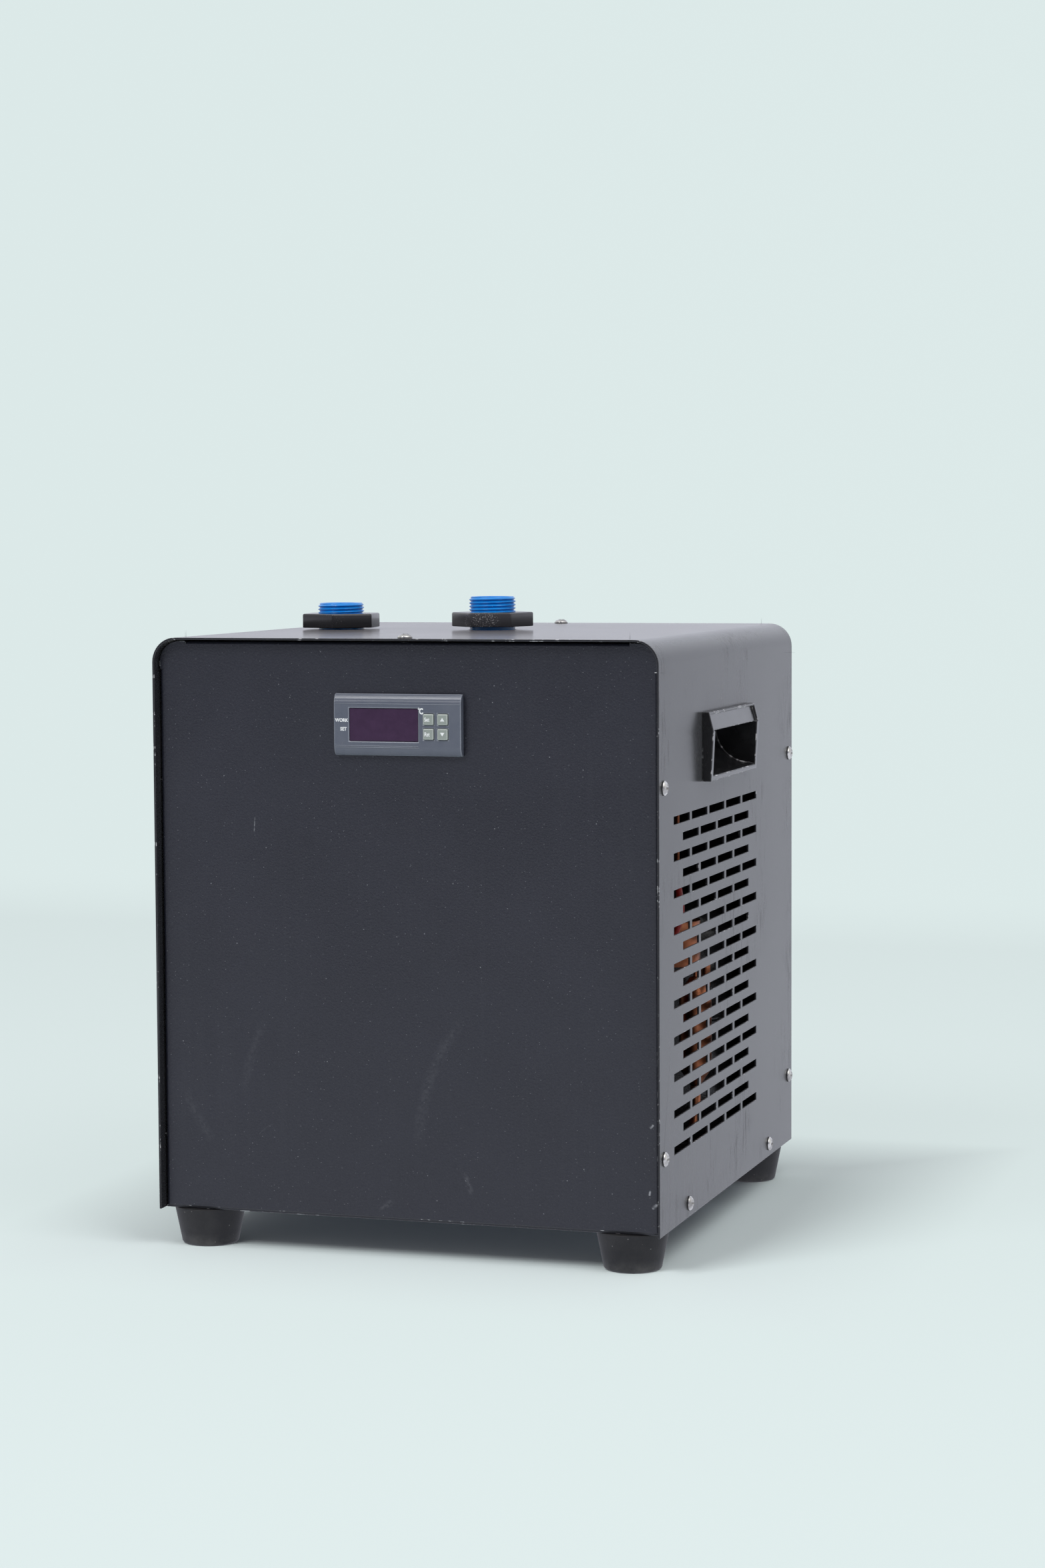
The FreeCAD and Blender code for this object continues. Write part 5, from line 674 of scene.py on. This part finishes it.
def roll_bands(mesh):
    """Rolls the face back above its upper line and below its lower one: y grows with the square
    of the way from the line to the edge, and the face is cut into strips first. The mesh's edge
    from a key hole's corner to the rim is bent at the sill, clear of the next hole's rounding."""
    work = bmesh.new()
    work.from_mesh(mesh)
    cuts = np.concatenate(
        [
            np.linspace(line_above, face_high.z, 7)[:-1],
            np.linspace(face_low.z, line_below, 7)[1:],
            [sill],
        ]
    )
    for level in cuts:
        everything = [*work.verts, *work.edges, *work.faces]
        bmesh.ops.bisect_plane(work, geom=everything, plane_co=(0, 0, level), plane_no=(0, 0, 1))
    work.to_mesh(mesh)
    work.free()
    points = np.empty(len(mesh.vertices) * 3)
    mesh.vertices.foreach_get("co", points)
    points = points.reshape(-1, 3)
    z = points[:, 2]
    above = np.clip((z - line_above) / (face_high.z - line_above), 0, 1)
    below = np.clip((line_below - z) / (line_below - face_low.z), 0, 1)
    on_face = points[:, 1] < face_y + 0.0003
    on_sill = on_face & (np.abs(z - sill) < 1e-6)
    bent = on_sill & (points[:, 0] > hole_corner) & (points[:, 0] < face_high.x - 0.001)
    points[bent, 0] = hole_corner
    points[:, 1] += np.where(on_face, roll * (above**2 + below**2), 0)
    mesh.vertices.foreach_set("co", points.ravel())
    mesh.update()


roll_bands(bezel.data)


def raised_line(end, level, width=0.00034, proud=0.00018):
    """A half-round ridge along X, from near the bezel's left edge to an end: the profile is a half
    ellipse, width wide and proud high, and it shrinks to a point at both ends."""
    start, root = face_low.x + 0.0004, face_y + 0.00002
    around = np.linspace(0, math.pi, 7)[None, :]
    shrink = np.array([0, 1, 1, 0])[:, None]
    x = np.broadcast_to(np.array([start, start, end, end])[:, None], (4, 7))
    y = root - np.sin(around) * proud * shrink
    z = level + np.cos(around) * width / 2 * shrink
    return np.stack([x, y, z], axis=-1), False, False


lines = [
    raised_line(face_high.x - 0.0004, line_above),
    raised_line(window_end + 0.0008, line_below),
    raised_line(window_end + 0.0004, line_below + 0.0009),
]
# The raised lines take the paler plastic, a painted highlight.
ridges = make_mesh("controller_lines", lines, bezel_painted_highlight, merge=False)
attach(ridges, "chiller")

print_white, tree, output = blank_material("print_white")
rub = use_effect(tree, "soft_stains", size=0.0012)
ink = mix_colour(tree, rub, (0.85, 0.87, 0.88, 1), (0.6, 0.63, 0.65, 1))
surface_shader(tree, output, ink, 0.5)


def printed_word(name, words, x, z, height, y, stretch=1.0, bold=0.0):
    """Flat print on a face at this y. x and z are the lower left corner, height is a capital's."""
    text = bpy.data.curves.new(name, "FONT")
    text.body = words
    text.size = height / 0.69
    text.offset = bold
    text.extrude = 0.00002
    text.resolution_u = 3
    drawn = bpy.data.objects.new(name, text)
    bpy.context.collection.objects.link(drawn)
    bpy.context.view_layer.update()
    graph = bpy.context.evaluated_depsgraph_get()
    flat = bpy.data.meshes.new_from_object(drawn.evaluated_get(graph))
    bpy.data.objects.remove(drawn)
    flat.transform(
        Matrix.Translation((x, y, z))
        @ Matrix.Rotation(math.pi / 2, 4, "X")
        @ Matrix.Diagonal((stretch, 1, 1, 1))
    )
    flat.materials.clear()
    flat.materials.append(print_white)
    made = bpy.data.objects.new(name, flat)
    bpy.context.collection.objects.link(made)
    return made


left, top = face_low.x, face_high.z
words = [
    printed_word("word_work", "WORK", left + 0.0009, top - 0.0157, 0.0018, face_y, 0.93, 0.00009),
    printed_word("word_set", "SET", left + 0.0039, top - 0.0206, 0.0018, face_y, 0.93, 0.00009),
    printed_word("degree_sign", "°", left + 0.0497, top - 0.0106, 0.0030, face_y, 0.8, 0.00003),
    printed_word("letter_c", "C", left + 0.0506, top - 0.0109, 0.0031, face_y, 0.74, 0.00018),
]
for word in words:
    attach(word, "chiller")


# The display window is smoked violet plastic, dark because the controller is off. It is slightly
# hazy and hardly mirrors.
window_plastic, tree, output = blank_material("window_plastic")
haze = use_effect(tree, "soft_stains", size=0.006)
smoke = mix_colour(tree, haze, (0.034, 0.013, 0.041, 1), (0.043, 0.018, 0.052, 1))
surface_shader(tree, output, smoke, 0.24, Specular_IOR_Level=0.3)
rounded_over("window", "display_window", 0.00015, window_plastic)


# The four keys are grey-green plastic caps with white signs printed on them. Each rides on its own
# sprung slide. Their rounded edges are a paler plastic: a painted highlight.
key_plastic = moulded_plastic("key_plastic", (0.25, 0.285, 0.262), 0.38, scuff=0.2)
# Painted highlight: a paler plastic for the keys' rounded edges.
key_painted_highlight = moulded_plastic("key_painted_highlight", (0.42, 0.46, 0.43), 0.3, scuff=0.1)
signs = {"key_set": "Set", "key_reset": "Rst"}
for node, (low, high) in key_boxes.items():
    rounded_over(node.replace("key", "button"), node, 0.0005, key_plastic, key_painted_highlight)
    middle_x, middle_z = (low[0] + high[0]) / 2, (low[2] + high[2]) / 2
    if node in signs:
        corner = (middle_x - 0.0022, middle_z - 0.0011)
        sign = printed_word(node + "_sign", signs[node], *corner, 0.0022, low[1], 0.74, 0.00007)
    else:
        point = 1 if node == "key_up" else -1
        outline = np.array([[-1.25, -0.95], [1.25, -0.95], [0, 1.05]]) * 0.001
        outline[:, 1] *= point
        rows = np.array([low[1] - 0.00003, low[1] + 0.00002])
        ring = np.stack(
            [
                np.broadcast_to(middle_x + outline[:, 0], (2, 3)),
                np.broadcast_to(rows[:, None], (2, 3)),
                np.broadcast_to(middle_z + outline[:, 1], (2, 3)),
            ],
            axis=-1,
        )
        lid = np.broadcast_to(ring[:1].mean(axis=1, keepdims=True), (1, 3, 3))
        sign = make_mesh(node + "_sign", [(np.concatenate([lid, ring]), False, True)], print_white)
        sign.data.polygons.foreach_set("use_smooth", np.zeros(len(sign.data.polygons), dtype=bool))
    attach(sign, body_names[node])


# Behind the panel the controller has a black case, two clips that hold it to the sheet, its
# circuit board, and a row of screw terminals.
case_plastic = moulded_plastic("case_plastic", (0.012, 0.012, 0.013), 0.45)
board_green = moulded_plastic("board_green", (0.02, 0.13, 0.06), 0.35)
terminal_green = moulded_plastic("terminal_green", (0.03, 0.26, 0.1), 0.42)
rounded_over("controller_housing", "controller_case", 0.0004, case_plastic)
rounded_over("housing_clips", "controller_clips", 0.0004, case_plastic)
rounded_over("circuit_board", "controller_board", 0.0002, board_green)
rounded_over("screw_terminals", "terminal_block", 0.0003, terminal_green)


# The power inlet is a black plastic appliance socket with three flat pins, held to the rear panel
# by two screws.
inlet_plastic = moulded_plastic("inlet_plastic", (0.01, 0.01, 0.011), 0.4)
pin_metal = bright_metal("pin_metal", (0.68, 0.66, 0.6), 0.24, (0.5, 0.47, 0.4))
rounded_over("socket", "power_inlet", 0.0005, inlet_plastic)
rounded_over("socket_pins", "inlet_pins", 0.0003, pin_metal)
flange_y, pin_z, head_radius, head_height = 0.1545, 0.072, 0.00315, 0.00195
spots = [((x, flange_y, pin_z), (0, 1, 0)) for x in (-0.06, -0.02)]
heads = [
    (pan_head_screw(*spot, head_radius, head_height, shank_radius, 0.0065), False, True)
    for spot in spots
]
stand_for(make_mesh("socket_screws", heads, zinc_bright), "inlet_screws")


# The two water unions are blue plastic with a moulded thread. They screw into the barrel's bosses
# and stand up through the cover.
union_blue, tree, output = blank_material("union_blue")
haze = use_effect(tree, "soft_stains", size=0.01)
specks = use_effect(tree, "dust_specks", spacing=0.003, size=0.00022, share=0.45)
blue = mix_colour(tree, haze, (0.003, 0.21, 0.66, 1), (0.005, 0.27, 0.76, 1))
dusty = maths(tree, "MULTIPLY", specks, 0.5)
surface_shader(tree, output, mix_colour(tree, dusty, blue, (0.7, 0.75, 0.8, 1)), 0.27)

thread_radius, thread_pitch, thread_depth = 0.014, 0.002, 0.00115
neck_radius, bore_radius = 0.0136, 0.0101


def threaded_union(middle, bottom, top, nut_top):
    """A threaded tube. Outside radius is a function of angle and height: a ridge that climbs one
    pitch a turn, clipped flat at crest and root, cut by a chamfer at both ends, with two fine
    moulding seams. The rows go up the outside, over the rim and down the bore."""
    angle = np.linspace(0, 2 * math.pi, 97)[None, :-1]
    height = np.arange(bottom, top, thread_pitch / 14)
    height = np.append(height, top)[:, None]
    phase = np.mod(height / thread_pitch - angle / (2 * math.pi), 1)
    ridge = np.clip(1.3 * (1 - np.abs(2 * phase - 1)) - 0.12, 0, 1)
    radius = thread_radius - thread_depth * (1 - ridge)
    chamfer = thread_radius - 0.0014 + np.minimum(height - bottom, top - height)
    radius = np.minimum(radius, chamfer)
    radius = np.where(height < nut_top, neck_radius, radius)
    seam = np.minimum(np.abs(np.mod(angle + 1.9, math.pi) - math.pi / 2), 1.0)
    radius = radius + 0.0001 * np.exp(-((seam * thread_radius / 0.0002) ** 2))
    rim = np.array([[0.0123, 0], [0.0107, 0], [bore_radius, -0.0005]])
    foot = np.array([[bore_radius, 0], [0.0123, 0]])
    radii = np.concatenate(
        [radius, np.broadcast_to(rim[:, :1], (3, 96)), np.broadcast_to(foot[:, :1], (2, 96))]
    )
    levels = np.concatenate([height, top + rim[:, 1:], bottom + foot[:, 1:]])
    points = np.stack(
        [
            middle[0] + radii * np.cos(angle),
            middle[1] + radii * np.sin(angle),
            np.broadcast_to(levels, radii.shape),
        ],
        axis=-1,
    )
    return points, True, True


ports = {"left": (-0.097, 0.008), "right": (0.0, 0.008)}
for side, port in ports.items():
    low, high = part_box("union_" + side)
    grid = threaded_union(port, low[2], high[2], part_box("nut_" + side)[1][2])
    stand_for(make_mesh("union_thread_" + side, [grid], union_blue), "union_" + side)


# A black plastic lock nut sits on each union, a little above the cover. Its edges are softly
# rounded, and the right one is scuffed on the face in front.
def lock_nut(middle, bottom, height, flats, turn, bore):
    """A six-sided ring. The outline is a hexagon drawn in by the corner radius plus a circle of
    that radius, as a function of angle, and it is carried round a profile of inset and height."""
    corner = 0.0016
    inner = flats / 2 - corner
    sector = np.repeat(np.arange(6), 8)
    sweep = np.tile(np.linspace(-30, 30, 8), 6)
    facing = np.radians(60 * sector - 90 - turn)
    normal = facing + np.radians(sweep)
    reach = inner / math.cos(math.radians(30))
    spine = np.stack([np.cos(facing), np.sin(facing)], axis=-1) * reach
    outward = np.stack([np.cos(normal), np.sin(normal)], axis=-1)
    soft = 0.0011
    bend = np.linspace(0, math.pi / 2, 6)
    inset = np.concatenate([[0.0004, 0.0], soft * (1 - np.cos(bend))])
    level = np.concatenate([[0.0, 0.0004], height - soft + soft * np.sin(bend)])
    shell = spine[None] + outward[None] * (corner - inset[:, None, None])
    around = np.arctan2(shell[-1, :, 1], shell[-1, :, 0])
    hole = np.stack([np.cos(around), np.sin(around)], axis=-1)
    top_ring = hole[None] * (bore + np.array([0.0022, 0.0008, 0.0]))[:, None, None]
    low_ring = hole[None] * (bore + np.array([0.0, 0.0008]))[:, None, None]
    flat = np.concatenate([shell, top_ring, low_ring])
    level = np.concatenate([level, height - np.array([0.0003, 0.0003, 0.001]), [0.001, 0.0]])
    points = np.concatenate(
        [flat, np.broadcast_to(level[:, None, None], (len(level), flat.shape[1], 1))], axis=-1
    )
    return points + np.array([middle[0], middle[1], bottom]), True, True


def scuffed_plastic(name, colour, scuffs):
    """Black plastic with whitish rubs on its front face: fine noise gated by a broad one."""
    material, tree, output = blank_material(name)
    in_front = threshold(tree, object_axis(tree, "Y"), -0.011, -0.0125)
    broad = use_effect(tree, "soft_stains", size=0.014)
    fine = use_effect(tree, "soft_stains", size=0.0007)
    pebble = use_effect(tree, "coat_pebble", size=0.0006)
    rubbed = maths(tree, "MULTIPLY", threshold(tree, broad, 0.1, 0.5), in_front)
    rubbed = maths(tree, "MULTIPLY", rubbed, threshold(tree, fine, 0.55, 0.8))
    base = mix_colour(
        tree, maths(tree, "MULTIPLY", rubbed, scuffs), (*colour, 1), (0.38, 0.38, 0.39, 1)
    )
    surface_shader(tree, output, base, 0.27, pebble, 0.00002)
    return material


nut_plastic = {
    "left": scuffed_plastic("nut_plastic_left", (0.024, 0.024, 0.027), 0.1),
    "right": scuffed_plastic("nut_plastic_right", (0.045, 0.045, 0.05), 1.0),
}
nut_turns = {"left": -8.4, "right": 15.4}
for side, port in ports.items():
    low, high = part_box("nut_" + side)
    grid = lock_nut(port, low[2], high[2] - low[2], 0.0427, nut_turns[side], 0.0137)
    stand_for(make_mesh("lock_nut_" + side, [grid], nut_plastic[side]), "nut_" + side)


# Under the cover the unions go through rubber seals into a grey plastic barrel, capped at both
# ends and wrapped in black foam. It lies on two foam saddles on a steel shelf.
barrel_grey = moulded_plastic("barrel_grey", (0.3, 0.31, 0.33), 0.4)
foam_black = moulded_rubber("foam_black", (0.012, 0.012, 0.012), (0.2, 0.2, 0.2))
seal_rubber = moulded_rubber("seal_rubber", (0.015, 0.015, 0.016), (0.3, 0.3, 0.3))
shelf_zinc = bright_metal("shelf_zinc", (0.56, 0.57, 0.58), 0.34, (0.4, 0.41, 0.42), 0.004)
rounded_over("barrel", "barrel_tube", 0.0004, barrel_grey)
rounded_over("left_cap", "barrel_cap_left", 0.001, barrel_grey)
rounded_over("right_cap", "barrel_cap_right", 0.0005, barrel_grey)
rounded_over("barrel_foam", "barrel_insulation", 0.0006, foam_black)
rounded_over("foam_saddles", "barrel_saddles", 0.001, foam_black)
rounded_over("seals", "union_seals", 0.0004, seal_rubber)
rounded_over("shelf", "barrel_shelf", 0.0003, shelf_zinc)


# A titanium tube is wound inside the barrel, and its two tails leave through the right cap. The
# refrigerant boils in it and cools the water.
def wound_tube(start, axis, side, coil_radius, tube_radius, turns, pitch):
    """A tube along a helix. The centre line is start + radius (side cos t + third sin t) + axis
    pitch t / turn, and the section is a circle in the plane across the line."""
    axis, side = np.array(axis, dtype=float), np.array(side, dtype=float)
    third = np.cross(axis, side)
    t = np.linspace(0, 2 * math.pi * turns, int(turns * 40) + 1)[:, None, None]
    around = np.linspace(0, 2 * math.pi, 11)[None, :-1, None]
    out = side * np.cos(t) + third * np.sin(t)
    along = (third * np.cos(t) - side * np.sin(t)) * coil_radius + axis * pitch / (2 * math.pi)
    along = along / np.linalg.norm(along, axis=-1, keepdims=True)
    over = np.cross(along, out)
    line = np.array(start) + out * coil_radius + axis * pitch * t / (2 * math.pi)
    tube = line + tube_radius * (out * np.cos(around) + over * np.sin(around))
    closing = [np.broadcast_to(line[end], (1, 10, 3)) for end in (0, -1)]
    return np.concatenate([closing[0], tube, closing[1]]), False, True


def straight_tube(start, end, tube_radius):
    """A closed round bar from start to end: circles across the line, with a point at each end."""
    start, end = np.array(start, dtype=float), np.array(end, dtype=float)
    along = (end - start) / np.linalg.norm(end - start)
    helper = np.array([0, 0, 1.0]) if abs(along[2]) < 0.9 else np.array([1.0, 0, 0])
    over = np.cross(along, helper)
    over /= np.linalg.norm(over)
    out = np.cross(along, over)
    around = np.linspace(0, 2 * math.pi, 13)[:-1, None]
    ring = tube_radius * (over * np.cos(around) + out * np.sin(around))
    centre = np.zeros((12, 3))
    return np.stack([start + centre, start + ring, end + ring, end + centre]), False, True


titanium = bright_metal("titanium", (0.5, 0.48, 0.45), 0.35, (0.4, 0.37, 0.36), 0.003)
coil_low, coil_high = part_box("titanium_coil")
barrel_y, barrel_z = 0.008, (coil_low[2] + coil_high[2]) / 2
winding, tail, turns, pitch = 0.0035, 0.003, 12, 0.0086
first = (coil_low[0] + winding, barrel_y, barrel_z)
helix = wound_tube(first, (1, 0, 0), (0, 0, -1), 0.0255, winding, turns, pitch)
tail_start, tail_end, tail_in = 0.002, coil_high[0], 0.018
tails = []
for y, z, out_y, out_z in ((0, -tail_in, 0, -0.026), (-tail_in, 0, -0.026, 0)):
    bend = (tail_start, barrel_y + y, barrel_z + z)
    tails.append(straight_tube(bend, (tail_end, *bend[1:]), tail))
    tails.append(straight_tube((tail_start, barrel_y + out_y, barrel_z + out_z), bend, tail))
stand_for(make_mesh("wound_titanium", [helix, *tails], titanium), "titanium_coil")


# Inside, the condenser is a block of thin aluminium fins on copper tubes, against the left slots,
# with return bends at both ends.
fin_aluminium = bright_metal("fin_aluminium", (0.62, 0.63, 0.64), 0.36, (0.5, 0.51, 0.52), 0.004)
copper = bright_metal("copper", (0.42, 0.16, 0.08), 0.3, (0.14, 0.045, 0.02), 0.003)
dress("condenser_core", fin_aluminium)
core_low, core_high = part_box("condenser_core")
tube_x = (core_low[0] + core_high[0]) / 2
passes = [
    straight_tube((tube_x, core_low[1] + 0.0002, z), (tube_x, core_high[1] - 0.0002, z), 0.004)
    for z in (0.06, 0.1, 0.14, 0.18, 0.22)
]
tubes = make_mesh("condenser_tubes", passes, copper)
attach(tubes, "chiller")
dress("condenser_bends", copper)


# A sheet shroud guides the air from the condenser to a five-bladed plastic fan, which the motor on
# its stand turns.
black_steel = powder_coat(
    "black_steel", (0.012, 0.012, 0.013), (0.016, 0.016, 0.017), 0.4, 0.3, 0.1, 0.1
)
fan_plastic = moulded_plastic("fan_plastic", (0.015, 0.015, 0.016), 0.42)
stand_zinc = bright_metal("stand_zinc", (0.56, 0.57, 0.58), 0.34, (0.42, 0.42, 0.43), 0.003)
rounded_over("shroud", "fan_shroud", 0.0003, black_steel)
dress("fan_rotor", fan_plastic)
dress("motor_shaft", stand_zinc)
rounded_over("motor", "fan_motor", 0.0008, black_steel)
rounded_over("motor_stand", "motor_bracket", 0.0003, stand_zinc)


# The compressor is a welded steel shell in black enamel, on rubber grommets, with a plastic cover
# over its terminals.
enamel = powder_coat("enamel", (0.01, 0.01, 0.011), (0.014, 0.014, 0.015), 0.25, 0.3, 0.1, 0.1)
rounded_over("compressor", "compressor_shell", 0.001, enamel)
rounded_over("grommets", "compressor_grommets", 0.0006, seal_rubber)
rounded_over("mounting_bolts", "compressor_bolts", 0.0003, stand_zinc)
rounded_over("mounting_nuts", "compressor_nuts", 0.0003, stand_zinc)
rounded_over("terminal_lid", "terminal_cover", 0.0008, case_plastic)


# Copper pipes join the circuit: from the compressor to the condenser, on to the drier, through a
# wound capillary to the barrel, and back.
for node in ("discharge_pipe", "liquid_pipe", "suction_pipe", "process_tube"):
    dress(node, copper)
rounded_over("drier", "filter_drier", 0.0008, copper)
dress("capillary_coil", copper)


# The leads are plain insulated wires, red to the compressor and black to the rest, such as the
# temperature probe.
def wire_cover(name, colour):
    """Extruded insulation: smooth, slightly uneven in colour and gloss."""
    material, tree, output = blank_material(name)
    stains = use_effect(tree, "soft_stains", size=0.006)
    pale = tuple(min(channel * 1.5 + 0.01, 1.0) for channel in colour)
    base = mix_colour(tree, stains, (*colour, 1), (*pale, 1))
    surface_shader(tree, output, base, maths(tree, "MULTIPLY_ADD", stains, 0.1, 0.38))
    return material


wire_red = wire_cover("wire_red", (0.42, 0.02, 0.015))
wire_black = wire_cover("wire_black", (0.012, 0.012, 0.013))
dress("compressor_lead", wire_red)
for node in ("fan_lead", "mains_lead", "temperature_probe"):
    dress(node, wire_black)
